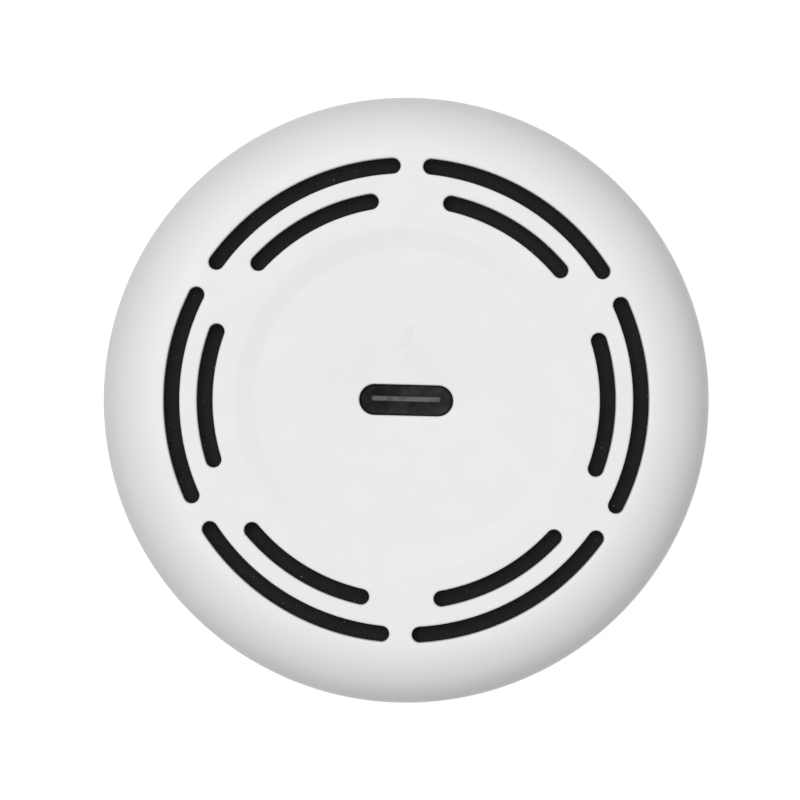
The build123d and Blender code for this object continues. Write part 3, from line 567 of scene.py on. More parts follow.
@dataclass
class Surface:
    """Points and faces of one piece in millimetres; points that fall together are one point."""

    points: list[Point] = field(default_factory=list)
    faces: list[tuple[int, ...]] = field(default_factory=list)
    places: dict[Point, int] = field(default_factory=dict)

    def point(self, x: float, y: float, z: float) -> int:
        """Adds a point.

        Args:
            x: Place along X.
            y: Place along Y.
            z: Place along Z.

        Returns:
            Number of the point.
        """
        key = tuple(round(value, SAME_POINT_DIGITS) for value in (x, y, z))
        if key not in self.places:
            self.places[key] = len(self.points)
            self.points.append((x, y, z))
        return self.places[key]

    def row(self, outline: Iterable[Flat], height: float) -> list[int]:
        """Adds a level row of points and returns their numbers."""
        return [self.point(x, y, height) for x, y in outline]

    def face(self, corners: Sequence[int]) -> None:
        """Adds a face without the corners that fell together.

        Args:
            corners: Numbers of its points, counter-clockwise seen from outside.
        """
        kept = [corner for index, corner in enumerate(corners) if corner != corners[index - 1]]
        if len(set(kept)) > 2:
            self.faces.append(tuple(kept))

    def strips(self, rows: Sequence[Sequence[int]], skipped: range = range(0)) -> Self:
        """Joins closed rows of points, each to the next, with faces.

        Args:
            rows: Rows of equal length, each counter-clockwise seen from where the rows lead to.
            skipped: Columns that get no faces.

        Returns:
            The surface itself.
        """
        for first, second in zip(rows, rows[1:]):
            for index in range(len(first)):
                after = (index + 1) % len(first)
                if index not in skipped:
                    self.face((first[index], first[after], second[after], second[index]))
        return self

    def bar(self, loops: Iterable[Iterable[Point]]) -> Self:
        """Joins loops of places, each to the next, and closes both ends.

        Args:
            loops: Loops of equal length, each counter-clockwise seen from where the loops lead to.

        Returns:
            The surface itself.
        """
        rows = [[self.point(*place) for place in loop] for loop in loops]
        self.face(rows[0][::-1])
        self.face(rows[-1])
        return self.strips(rows)

    def turned(self, outline: Sequence[Flat], closed: bool = True) -> Self:
        """Turns an outline about the axis.

        Args:
            outline: Radius and height of each point, counter-clockwise, with the material on the left.
            closed: Whether the last point joins the first.

        Returns:
            The surface itself.
        """
        rows = [self.row(circle(radius), height) for radius, height in outline]
        return self.strips([*rows, rows[0]] if closed else rows)

    def facing(self, steps: Iterable[tuple[float, Depth | float]], height: float) -> Self:
        """Joins rings about an axis along Y, from the back of a piece to the middle of its front.

        Args:
            steps: Radius of each ring and its place along Y, which may depend on the place across and up.
            height: Height of the axis.

        Returns:
            The surface itself.
        """
        rows = []
        for radius, depth in steps:
            places = circle(radius, FACING_STEPS)
            depths = [depth(x, z) if callable(depth) else depth for x, z in places]
            rows.append([self.point(x, y, height + z) for (x, z), y in zip(places, depths)])
        return self.strips(rows)

    def plate(self, loops: Sequence[Sequence[Flat]], height: float, upward: bool = True) -> None:
        """Fills a level area that has holes.

        Args:
            loops: Outer edge first, then the edges of the holes.
            height: Height of the area.
            upward: Whether it faces up.
        """
        places = [Vector(place) for loop in loops for place in loop]
        numbers = [self.point(x, y, height) for loop in loops for x, y in loop]
        edges: list[list[int]] = []
        for loop in loops:
            start = sum(map(len, edges))
            edges.append(list(range(start, start + len(loop))))
        filled = delaunay_2d_cdt(places, [], edges, FILL_WITH_HOLES, FILL_TOLERANCE)
        _, _, triangles, sources, _, _ = filled
        for triangle in triangles:
            corners = [numbers[sources[corner][0]] for corner in triangle]
            self.face(corners if upward else corners[::-1])

    def prism(self, outline: Sequence[Flat], low: float, high: float, soft: float = 0.0) -> Self:
        """Straight upright bar with a closed outline and softened ends.

        Args:
            outline: Points of the outline, counter-clockwise.
            low: Height of its lower end.
            high: Height of its upper end.
            soft: Height and inset of the slope at each end.

        Returns:
            The surface itself.
        """
        middle = sum((Vector(place) for place in outline), Vector(AXIS)) / len(outline)
        inset = []
        for place in outline:
            inward = middle - Vector(place)
            inset.append(tuple(Vector(place) + inward.normalized() * min(soft, inward.length)))
        levels = ((inset, low), (outline, low + soft), (outline, high - soft), (inset, high))
        return self.bar([(x, y, height) for x, y in loop] for loop, height in levels)

    def piece(self, name: str, finish: Finish, crease: float = CREASE) -> bpy.types.Object:
        """Makes the Blender object.

        Args:
            name: Name of the object.
            finish: Finish of the whole piece.
            crease: Angle in degrees from which an edge looks sharp.

        Returns:
            The object, linked to the scene.
        """
        mesh = bpy.data.meshes.new(name)
        mesh.from_pydata([[x * MM, y * MM, z * MM] for x, y, z in self.points], [], self.faces)
        mesh.shade_smooth()
        mesh.set_sharp_from_angle(angle=math.radians(crease))
        mesh.materials.append(finish.material())
        return placed(name, mesh)


def settle(piece: bpy.types.Object, body: Body, slot: Slot, *nodes: str) -> bpy.types.Object:
    """Puts a finished piece on its body.

    Args:
        piece: Piece in its place.
        body: Body that it rides on.
        slot: Slot of the record for the piece; not used.
        nodes: CAD nodes that it stands for.

    Returns:
        The piece.
    """
    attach(piece, body.value)
    if nodes:
        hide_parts(*nodes)
    return piece


class RingArray(Wiring):
    """Geometry Nodes tree that repeats a template around the long axis, in one or more rows."""

    def __init__(self) -> None:
        """Builds the tree with its named inputs."""
        super().__init__(bpy.data.node_groups.new("ring_array", "GeometryNodeTree"))
        self.keys: dict[str, str] = {}
        for name, kind in (("Template", "Geometry"), ("Count", "Int"), ("Rows", "Int"), ("Rise", "Float"),
                           ("Stagger", "Float"), ("First", "Float"), ("Finish", "Material")):
            socket = self.tree.interface.new_socket(name, in_out="INPUT", socket_type=f"NodeSocket{kind}")
            self.keys[name] = socket.identifier
        self.tree.interface.new_socket("Pieces", in_out="OUTPUT", socket_type="NodeSocketGeometry")
        self.wire()

    def wire(self) -> None:
        """Places a copy of the template at each step around and each row up."""
        given = self.add("NodeGroupInput").outputs
        index = self.add("GeometryNodeInputIndex").outputs[0]
        copies = self.result("MULTIPLY", given["Count"], given["Rows"])
        # Half a step keeps the row clear of rounding.
        row = self.result("FLOOR", self.result("DIVIDE", self.result("ADD", index, 0.5), given["Count"]))
        column = self.result("MODULO", index, given["Count"])
        shift = self.result("MULTIPLY", self.result("MODULO", row, 2.0), given["Stagger"])
        step = self.result("DIVIDE", math.tau, given["Count"])
        turned = self.result("MULTIPLY", self.result("ADD", column, shift), step)
        turn = self.add("ShaderNodeCombineXYZ", z=self.result("ADD", turned, given["First"]))
        place = self.add("ShaderNodeCombineXYZ", z=self.result("MULTIPLY", row, given["Rise"]))
        rotation = self.add("FunctionNodeEulerToRotation", turn.outputs[0])
        points = self.add("GeometryNodePoints", copies, place.outputs[0])
        spread = self.add("GeometryNodeInstanceOnPoints", points.outputs[0], instance=given["Template"],
                          rotation=rotation.outputs[0])
        real = self.add("GeometryNodeRealizeInstances", spread.outputs[0])
        welded = self.add("GeometryNodeMergeByDistance", real.outputs[0], distance=WELD * MM)
        dressed = self.add("GeometryNodeSetMaterial", welded.outputs[0], material=given["Finish"])
        self.add("NodeGroupOutput", dressed.outputs[0])

    def spread(self, template: bpy.types.Object, finish: Finish, count: int, rows: int = 1, rise: float = 0.0,
               stagger: float = 0.0, first: float = 0.0) -> bpy.types.Object:
        """Turns a template into its whole array as a plain mesh.

        Args:
            template: Piece that is repeated, in its place at angle zero in the lowest row.
            finish: Finish of the array.
            count: Copies around.
            rows: Rows along the axis.
            rise: Height from row to row.
            stagger: Share of a step that every other row is turned by.
            first: Angle of the first copy in degrees.

        Returns:
            The same object with the array as its mesh.
        """
        modifier = template.modifiers.new("array", "NODES")
        modifier.node_group = self.tree
        values = {"Count": count, "Rows": rows, "Rise": rise * MM, "Stagger": stagger,
                  "First": math.radians(first), "Finish": finish.material()}
        for name, value in values.items():
            modifier[self.keys[name]] = value
        graph = bpy.context.evaluated_depsgraph_get()
        mesh = bpy.data.meshes.new_from_object(template.evaluated_get(graph), depsgraph=graph)
        template.modifiers.clear()
        template.data = mesh
        return template


@dataclass
class CupUnit:
    """Nose with the accessory socket, smoked dust cup, their seals, the inlet duct and its pin.

    A spigot is its outer radius, inner radius and top, a groove its floor's radius, lower and upper edge, the
    throat a radius and a height, and the hinge and the feet of its ears are places along Y and Z.
    """

    radius: float = 27.5
    edge: float = 5.5
    wall: float = 2.2
    nose_top: float = 26.0
    nose_spigot: Sizes = (25.45, 23.85, 31.0)
    nose_taper: float = 2.0
    socket_radius: float = 17.0
    mouth_radius: float = 15.0
    mouth_depth: float = 20.0
    lip: float = 0.6
    gasket: Range = (25.5, 27.2)
    gasket_soft: float = 0.2
    cup_low: float = 26.8
    cup_top: float = 96.0
    cup_inner: float = 25.5
    spigot: Sizes = (25.1, 22.4, 104.0)
    taper_top: float = 94.0
    groove: Sizes = (23.8, 99.15, 100.85)
    seal_radius: float = 24.55
    seal_cord: float = 0.7
    soft: float = 0.3
    bend: float = 1.0
    sleeve: Range = (17.05, 18.65)
    sleeve_low: float = 14.0
    throat: Flat = (14.0, 21.6)
    duct_top: float = 36.0
    duct_radii: Range = (11.0, 12.6)
    hinge: Flat = (14.8, 36.85)
    eye_radius: float = 1.7
    ear_place: float = 6.3
    ear_width: float = 2.0
    ear_foot: tuple[Flat, Flat] = ((12.9, 28.6), (14.2, 28.6))
    ear_shoulder: float = 33.0
    ear_back: float = 10.6
    ear_sunk: float = 0.1
    pin_radius: float = 0.8
    pin_length: float = 14.6
    pin_soft: float = 0.15

    def build(self) -> Pieces:
        """Makes the pieces of the cup unit.

        Returns:
            The pieces.
        """
        return [
            settle(self.nose().piece("nose_collar", WHITE_SATIN), Body.CUP, Slot.WHITE, "nose_shell"),
            settle(self.nose_seal().piece("nose_seal", SOFT_RUBBER), Body.CUP, Slot.RUBBER, "nose_gasket"),
            settle(self.cup().piece("smoked_cup", SMOKED_CLEAR), Body.CUP, Slot.SMOKED, "dust_cup"),
            settle(self.cord_seal().piece("cup_cord_seal", SOFT_RUBBER), Body.CUP, Slot.RUBBER, "cup_seal"),
            settle(self.duct().piece("inlet_funnel", MATT_BLACK), Body.CUP, Slot.DARK, "inlet_duct"),
            settle(self.pin().piece("hinge_pin", BRIGHT_STEEL), Body.CUP, Slot.STEEL, "flap_pin"),
        ]

    def nose(self) -> Surface:
        """Rounded nose with the socket in its mouth.

        Returns:
            The surface.
        """
        outer, inner, top = self.nose_spigot
        inside = self.radius - self.wall
        return Surface().turned(rounded(
            (self.radius, 0.0, self.edge),
            (self.radius, self.nose_top, self.soft),
            (outer, self.nose_top),
            (outer, top, self.soft),
            (inner, top),
            (inner, self.nose_top - self.nose_taper),
            (inside, self.nose_top - 2 * self.nose_taper),
            (inside, self.wall, self.edge - self.wall),
            (self.socket_radius, self.wall),
            (self.socket_radius, self.mouth_depth),
            (self.mouth_radius, self.mouth_depth),
            (self.mouth_radius, 0.0, self.lip),
        ))

    def nose_seal(self) -> Surface:
        """Flat seal between the nose and the cup.

        Returns:
            The surface.
        """
        inner, outer = self.gasket
        soft = self.gasket_soft
        return Surface().turned(rounded((inner, self.nose_top), (outer, self.nose_top, soft),
                                        (outer, self.cup_low, soft), (inner, self.cup_low)))

    def cup(self) -> Surface:
        """See-through dust cup with its spigot and seal groove.

        Returns:
            The surface.
        """
        outer, inner, top = self.spigot
        floor, groove_low, groove_top = self.groove
        return Surface().turned(rounded(
            (self.cup_inner, self.cup_low),
            (self.radius, self.cup_low, self.soft),
            (self.radius, self.cup_top, self.soft),
            (outer, self.cup_top),
            (outer, groove_low),
            (floor, groove_low),
            (floor, groove_top),
            (outer, groove_top),
            (outer, top, self.soft),
            (inner, top, self.soft),
            (inner, self.taper_top, self.bend),
            (self.cup_inner, self.taper_top - (self.cup_inner - inner), self.bend),
        ))

    def cord_seal(self) -> Surface:
        """Round cord in the groove of the cup."""
        middle = (self.groove[1] + self.groove[2]) / 2
        return Surface().turned(circle(self.seal_cord, ROUND_STEPS, (self.seal_radius, middle)))

    def duct(self) -> Surface:
        """Funnel behind the mouth, with the two ears of the flap's hinge.

        Returns:
            The surface.
        """
        sleeve_inner, sleeve_outer = self.sleeve
        throat_radius, throat_top = self.throat
        inner, outer = self.duct_radii
        surface = Surface().turned(rounded(
            (sleeve_inner, self.sleeve_low),
            (sleeve_outer, self.sleeve_low, self.soft),
            (sleeve_outer, throat_top, self.bend),
            (outer, self.duct_top, self.soft),
            (inner, self.duct_top, self.soft),
            (throat_radius, throat_top, self.bend),
            (throat_radius, self.mouth_depth),
            (sleeve_inner, self.mouth_depth),
        ))
        y, z = self.hinge
        ledge = self.duct_top - self.ear_sunk
        ear = [*self.ear_foot, (y + self.eye_radius, self.ear_shoulder),
               *arc((y, z), self.eye_radius, 0, 180, SLOT_END_STEPS), (y - self.eye_radius, ledge),
               (self.ear_back, ledge)]
        half = self.ear_width / 2
        for middle in (-self.ear_place, self.ear_place):
            surface.bar([(x, *place) for place in ear] for x in (middle - half, middle + half))
        return surface

    def pin(self) -> Surface:
        """Hinge pin with softened ends.

        Returns:
            The surface.
        """
        half = self.pin_length / 2
        end = self.pin_radius - self.pin_soft
        straight = half - self.pin_soft
        steps = ((-half, end), (-straight, self.pin_radius), (straight, self.pin_radius), (half, end))
        return Surface().bar([(x, *place) for place in circle(radius, ROUND_STEPS, self.hinge)]
                             for x, radius in steps)


@dataclass
class Flap:
    """Soft flap that closes the inlet, on a hinge at a place along Y and Z."""

    radius: float = 12.4
    low: float = 36.1
    thickness: float = 1.5
    soft: float = 0.35
    rim: float = 2.0
    rim_slope: float = 0.4
    dish_depth: float = 0.3
    dish_soft: float = 0.2
    hinge: Flat = (14.8, 36.85)
    knuckle_radius: float = 1.7
    knuckle_width: float = 10.0
    knuckle_arc: Range = (-60.0, 120.0)
    knuckle_steps: int = 20
    arm_reach: float = 3.0
    arm_inset: float = 0.02

    def build(self) -> Pieces:
        """Makes the flap, the only piece here."""
        valve = self.disc().piece("inlet_valve", SOFT_RUBBER)
        return [settle(valve, Body.FLAP, Slot.RUBBER, "inlet_flap")]

    def disc(self) -> Surface:
        """Disc with its arm and knuckle.

        Returns:
            The surface.
        """
        top = self.low + self.thickness
        floor = top - self.dish_depth
        inside = self.radius - self.rim
        surface = Surface().turned(rounded(
            (0.0, self.low),
            (self.radius, self.low, self.soft),
            (self.radius, top, self.soft),
            (inside, top),
            (inside - self.rim_slope, floor, self.dish_soft),
            (0.0, floor),
        ))
        y = self.hinge[0]
        start = self.radius - self.arm_reach
        under, over = self.low + self.arm_inset, top - self.arm_inset
        knuckle = arc(self.hinge, self.knuckle_radius, *self.knuckle_arc, self.knuckle_steps)
        arm = [(start, under), (y, under), *knuckle, (y, over), (start, over)]
        half = self.knuckle_width / 2
        return surface.bar([(x, *place) for place in arm] for x in (-half, half))


@dataclass
class FilterUnit:
    """Filter frame with its cage, perforated screen, pleated paper and seal.

    The groove is its floor's radius, lower and upper edge.
    """

    array: RingArray
    low: float = 59.0
    base: float = 2.0
    top: float = 104.0
    flange_top: float = 107.0
    flange_radius: float = 25.1
    flange_hole: float = 10.75
    groove: Sizes = (23.9, 104.6, 106.4)
    seal: Range = (23.95, 25.25)
    lip_soft: float = 0.3
    lip_dip: float = 0.35
    dip_soft: float = 0.2
    dip_half: float = 0.1
    cage_radius: float = 20.6
    rib_count: int = 6
    rib_width: float = 2.4
    rib_depth: float = 1.6
    rib_inset: float = 0.02
    sunk: float = 0.3
    screen_radius: float = 18.95
    screen_wall: float = 0.4
    screen_columns: int = 48
    screen_rows: int = 17
    screen_stagger: float = 0.5
    hole_share: float = 0.31
    cell_side_steps: int = 4
    pleat_count: int = 36
    pleat_outer: float = 17.05
    pleat_depth: float = 4.5
    pleat_wall: float = 1.5
    fold_steps: int = 14
    fold_sharpness: float = 0.96
    soft: float = 0.4

    def build(self) -> Pieces:
        """Makes the pieces of the filter.

        Returns:
            The pieces.
        """
        spread = self.array.spread
        flange = self.flange().piece("filter_flange", MATT_BLACK)
        settle(flange, Body.FILTER, Slot.DARK, "filter_frame")
        ribs = spread(self.rib().piece("filter_ribs", MATT_BLACK), MATT_BLACK, self.rib_count)
        settle(ribs, Body.FILTER, Slot.DARK)
        lip = self.lip().piece("filter_lip_seal", SOFT_RUBBER)
        settle(lip, Body.FILTER, Slot.RUBBER, "filter_seal")
        screen = spread(self.cell().piece("perforated_screen", BRIGHT_STEEL), BRIGHT_STEEL,
                        self.screen_columns, self.screen_rows, self.row_height(), self.screen_stagger)
        self.close_rims(screen)
        settle(screen, Body.FILTER, Slot.STEEL, "filter_screen")
        paper = spread(self.pleat().piece("pleated_filter", PLEATED_PAPER), PLEATED_PAPER, self.pleat_count)
        settle(paper, Body.FILTER, Slot.PAPER, "filter_media")
        return [flange, ribs, lip, screen, paper]

    def close_rims(self, screen: bpy.types.Object) -> None:
        """Joins the inner and outer edge of the screen at its lower and upper end.

        Args:
            screen: The screen, open at both ends.
        """
        middle = (self.low + self.top) / 2 * MM
        shape = bmesh.new()
        shape.from_mesh(screen.data)
        for upper in (False, True):
            rim = [edge for edge in shape.edges
                   if edge.is_boundary and (edge.verts[0].co.z > middle) == upper]
            bmesh.ops.bridge_loops(shape, edges=rim)
        bmesh.ops.recalc_face_normals(shape, faces=shape.faces)
        shape.to_mesh(screen.data)
        shape.free()
        screen.data.set_sharp_from_angle(angle=math.radians(CREASE))

    def row_height(self) -> float:
        """Height of one row of holes."""
        return (self.top - self.low - self.base) / self.screen_rows

    def flange(self) -> Surface:
        """Flange and base of the frame.

        Returns:
            The surface.
        """
        floor, groove_low, groove_top = self.groove
        ring = rounded(
            (self.flange_hole, self.top, self.soft),
            (self.flange_radius, self.top, self.soft),
            (self.flange_radius, groove_low),
            (floor, groove_low),
            (floor, groove_top),
            (self.flange_radius, groove_top),
            (self.flange_radius, self.flange_top, self.soft),
            (self.flange_hole, self.flange_top, self.soft),
        )
        base_top = self.low + self.base
        base = rounded((0.0, self.low), (self.cage_radius, self.low, self.soft),
                       (self.cage_radius, base_top, self.soft), (0.0, base_top))
        return Surface().turned(ring).turned(base)

    def rib(self) -> Surface:
        """One upright rib of the cage.

        Returns:
            The surface.
        """
        half = self.rib_width / 2
        inner, outer = self.cage_radius - self.rib_depth, self.cage_radius - self.rib_inset
        places = ((outer, -half), (outer, half), (inner, half), (inner, -half))
        outline = rounded(*((*place, self.soft) for place in places))
        return Surface().prism(outline, self.low + self.sunk, self.top + self.sunk)

    def lip(self) -> Surface:
        """Seal around the flange, with two soft lips.

        Returns:
            The surface.
        """
        inner, outer = self.seal
        _, low, top = self.groove
        middle = (low + top) / 2
        return Surface().turned(rounded(
            (inner, low),
            (outer, low, self.lip_soft),
            (outer, middle - self.dip_half, self.dip_soft),
            (outer - self.lip_dip, middle),
            (outer, middle + self.dip_half, self.dip_soft),
            (outer, top, self.lip_soft),
            (inner, top),
        ))

    def cell(self) -> Surface:
        """One square of the screen with its round hole.

        Returns:
            The surface, open at the sides of the square.
        """
        outer, inner = self.screen_radius, self.screen_radius - self.screen_wall
        width, height = math.tau * outer / self.screen_columns, self.row_height()
        hole = self.hole_share * min(width, height)
        middle = self.low + self.base + height / 2
        side = spaced(-0.5, 0.5, self.cell_side_steps)[:-1]
        square = [*((place, -0.5) for place in side), *((0.5, place) for place in side),
                  *((-place, 0.5) for place in side), *((-0.5, -place) for place in side)]
        surface = Surface()
        rows = []
        for radius, share in ((outer, 0.0), (outer, 1.0), (inner, 1.0), (inner, 0.0)):
            row = []
            for across, up in square:
                turn = math.atan2(up, across)
                around = across * width * (1 - share) + hole * math.cos(turn) * share
                rise = up * height * (1 - share) + hole * math.sin(turn) * share
                angle = around / outer
                row.append(surface.point(radius * math.cos(angle), radius * math.sin(angle), middle + rise))
            rows.append(row)
        return surface.strips(rows)

    def fold(self) -> list[Flat]:
        """Line of one pleat, from valley to valley.

        Returns:
            Angle in radians and radius of each point.
        """
        half = math.pi / self.pleat_count
        middle = self.pleat_outer - self.pleat_depth / 2
        sharp = self.fold_sharpness
        outline = []
        for share in spaced(-1.0, 1.0, self.fold_steps):
            fold = math.asin(sharp * math.cos(math.pi * share)) / math.asin(sharp)
            outline.append((half * share, middle + fold * self.pleat_depth / 2))
        return outline

    def pleat(self) -> Surface:
        """One pleat of the paper, closed at its upper and lower end.

        Returns:
            The surface.
        """
        low, high = self.low + self.base - self.sunk, self.top + self.sunk
        wall, line = self.pleat_wall, self.fold()
        surface = Surface()
        rows = []
        for inset, height in ((0.0, low), (0.0, high), (wall, high), (wall, low), (0.0, low)):
            rows.append(surface.row([((radius - inset) * math.cos(angle), (radius - inset) * math.sin(angle))
                                     for angle, radius in line], height))
        return surface.strips(rows, skipped=range(self.fold_steps, self.fold_steps + 1))


@dataclass
class Barrel:
    """White barrel with its ledge and the round hole for the power button."""

    radius: float = 27.5
    inner_radius: float = 25.3
    low: float = 96.0
    top: float = 250.0
    seam: float = 0.3
    ledge: Range = (109.0, 111.5)
    ledge_radius: float = 20.7
    hole_radius: float = 8.0
    hole_height: float = 192.0
    hole_soft: float = 0.2
    patch: float = 11.5
    patch_steps: int = 24
    patch_rings: int = 6
    columns_elsewhere: int = 264

    def build(self) -> Pieces:
        """Makes the barrel, the only piece here."""
        sleeve = self.sleeve().piece("barrel_sleeve", WHITE_SATIN)
        return [settle(sleeve, Body.BARREL, Slot.WHITE, "barrel_shell")]

    def across(self) -> list[float]:
        """Angles of the columns over the patch around the hole, in radians from the front."""
        half = self.patch / self.radius
        return spaced(-half, half, self.patch_steps)

    def levels(self) -> list[float]:
        """Heights of the rows over the patch, upwards."""
        return spaced(self.hole_height - self.patch, self.hole_height + self.patch, self.patch_steps)

    def sleeve(self) -> Surface:
        """Closed surface of the barrel.

        Returns:
            The surface.
        """
        surface = Surface()
        middle = self.radius - self.seam
        bottom = arc((middle, self.low + self.seam), self.seam, -90, 0, SEAM_STEPS)
        top = arc((middle, self.top - self.seam), self.seam, 0, 90, SEAM_STEPS)
        outer = [(self.radius, level) for level in self.levels()]
        inner = [(self.inner_radius, level) for level in reversed(self.levels())]
        ledge_low, ledge_top = self.ledge
        ledge = [
            (self.inner_radius, ledge_top),
            (self.ledge_radius, ledge_top),
            (self.ledge_radius, ledge_low),
            (self.inner_radius, ledge_low),
        ]
        foot, head = (self.inner_radius, self.low), (self.inner_radius, self.top)
        for run in ([foot, *bottom, outer[0]], [outer[-1], *top, head, inner[0]], [inner[-1], *ledge, foot]):
            self.add_band(surface, run)
        for run in (outer, inner):
            self.add_band(surface, run, skipped=range(self.patch_steps))
        self.open_hole(surface)
        return surface

    def add_band(self, surface: Surface, outline: Iterable[Flat], skipped: range = range(0)) -> None:
        """Turns part of the outline about the axis, with columns that fit the patch.

        Args:
            surface: Surface of the barrel.
            outline: Radius and height of each point.
            skipped: Columns that get no faces.
        """
        near = self.across()
        angles = near[:-1] + spaced(near[-1], math.tau + near[0], self.columns_elsewhere)[:-1]
        ways = [(math.sin(angle), -math.cos(angle)) for angle in angles]
        rows = [surface.row([(radius * x, radius * y) for x, y in ways], height)
                for radius, height in outline]
        surface.strips(rows, skipped)

    def rim(self) -> list[tuple[float, float, float]]:
        """Points around the patch, counter-clockwise seen from the front.

        Returns:
            Angle and height of each point, and its direction from the hole's middle.
        """
        across, up = self.across(), self.levels()
        places = [*((angle, up[0]) for angle in across[:-1]), *((across[-1], level) for level in up[:-1]),
                  *((angle, up[-1]) for angle in across[:0:-1]), *((across[0], level) for level in up[:0:-1])]
        return [(angle, level, math.atan2(level - self.hole_height, angle * self.radius))
                for angle, level in places]

    def patch_rows(self, surface: Surface, radius: float, hole: float) -> list[list[int]]:
        """Rows that lead over one wall from the edge of the patch to the hole.

        Args:
            surface: Surface of the barrel.
            radius: Radius of the wall.
            hole: Radius of the hole there.

        Returns:
            The rows, from the patch's edge inwards.
        """
        rows = []
        for share in spaced(0.0, 1.0, self.patch_rings):
            row = []
            for angle, level, turn in self.rim():
                near_angle = math.asin(hole * math.cos(turn) / radius)
                near_level = self.hole_height + hole * math.sin(turn)
                way = angle + (near_angle - angle) * share
                height = level + (near_level - level) * share
                row.append(surface.point(radius * math.sin(way), -radius * math.cos(way), height))
            rows.append(row)
        return rows

    def open_hole(self, surface: Surface) -> None:
        """Joins the two walls through the button's hole.

        Args:
            surface: Surface of the barrel.
        """
        outer = self.patch_rows(surface, self.radius, self.hole_radius + self.hole_soft)
        inner = self.patch_rows(surface, self.inner_radius, self.hole_radius)[::-1]
        edge = []
        for grow, drop in softened(self.hole_soft)[1:]:
            reach = self.hole_radius + grow
            row = []
            for _, _, turn in self.rim():
                x = reach * math.cos(turn)
                depth = drop - math.sqrt(self.radius**2 - x**2)
                row.append(surface.point(x, depth, self.hole_height + reach * math.sin(turn)))
            edge.append(row)
        surface.strips([*outer, *edge, *inner])


@dataclass
class Controls:
    """Power button and the light ring around it."""

    height: float = 192.0
    body_radius: float = 27.5
    button_radius: float = 6.5
    button_recess: float = 0.25
    button_soft: float = 0.35
    button_rings: int = 20
    button_crease: float = 50.0
    dish_radius: float = 30.0
    dish_depth: float = 0.5
    dish_blend: float = 0.08
    flange_radius: float = 7.5
    flange_face: float = -22.793
    flange_back: float = -22.093
    stem_radius: float = 1.2
    stem_back: float = -20.053
    ring_inner: float = 6.75
    ring_outer: float = 7.95
    ring_soft: float = 0.2
    ring_flange: float = 8.6
    ring_flange_face: float = -23.593
    ring_back: float = -22.893

    def build(self) -> Pieces:
        """Makes the button and its ring.

        Returns:
            The pieces.
        """
        button = self.button().piece("dished_button", BUTTON_SATIN, self.button_crease)
        ring = self.ring().piece("glow_ring", FROSTED_RING)
        return [settle(button, Body.BUTTON, Slot.BUTTON, "power_button"),
                settle(ring, Body.BARREL, Slot.LIGHT, "light_ring")]

    def button_face(self, x: float, z: float) -> float:
        """Depth of the button's dished face at a place on it.

        Args:
            x: Place across.
            z: Place above the button's axis.

        Returns:
            Place along Y.
        """
        face = self.body_radius - self.button_recess
        wall = -math.sqrt(face**2 - x**2)
        middle = -face + self.dish_depth - self.dish_radius
        dish = middle + math.sqrt(self.dish_radius**2 - x**2 - z**2)
        return (wall + dish + math.hypot(wall - dish, self.dish_blend)) / 2

    def barrel_face(self, x: float, z: float) -> float:
        """Depth of the barrel's wall at a place across, the same at every height."""
        return -math.sqrt(self.body_radius**2 - x**2)

    def button(self) -> Surface:
        """Closed surface of the button, from the tip of its stem to the middle of its face.

        Returns:
            The surface.
        """
        steps: list[tuple[float, Depth | float]] = [
            (0.0, self.stem_back),
            (self.stem_radius, self.stem_back),
            (self.stem_radius, self.flange_back),
            (self.flange_radius, self.flange_back),
            (self.flange_radius, self.flange_face),
            (self.button_radius, self.flange_face),
        ]
        for grow, drop in softened(self.button_soft)[::-1]:
            steps.append((self.button_radius - grow, deeper(self.button_face, drop)))
        core = self.button_radius - self.button_soft
        steps += [(radius, self.button_face) for radius in spaced(core, 0.0, self.button_rings)[1:]]
        return Surface().facing(steps, self.height)

    def ring(self) -> Surface:
        """Closed surface of the light ring, flush with the barrel.

        Returns:
            The surface.
        """
        soft = softened(self.ring_soft)
        edges = [(self.ring_outer - grow, drop) for grow, drop in soft[::-1]]
        edges += [(self.ring_inner + grow, drop) for grow, drop in soft]
        return Surface().facing([
            (self.ring_inner, self.ring_back),
            (self.ring_flange, self.ring_back),
            (self.ring_flange, self.ring_flange_face),
            (self.ring_outer, self.ring_flange_face),
            *((radius, deeper(self.barrel_face, drop)) for radius, drop in edges),
            (self.ring_inner, self.ring_back),
        ], self.height)


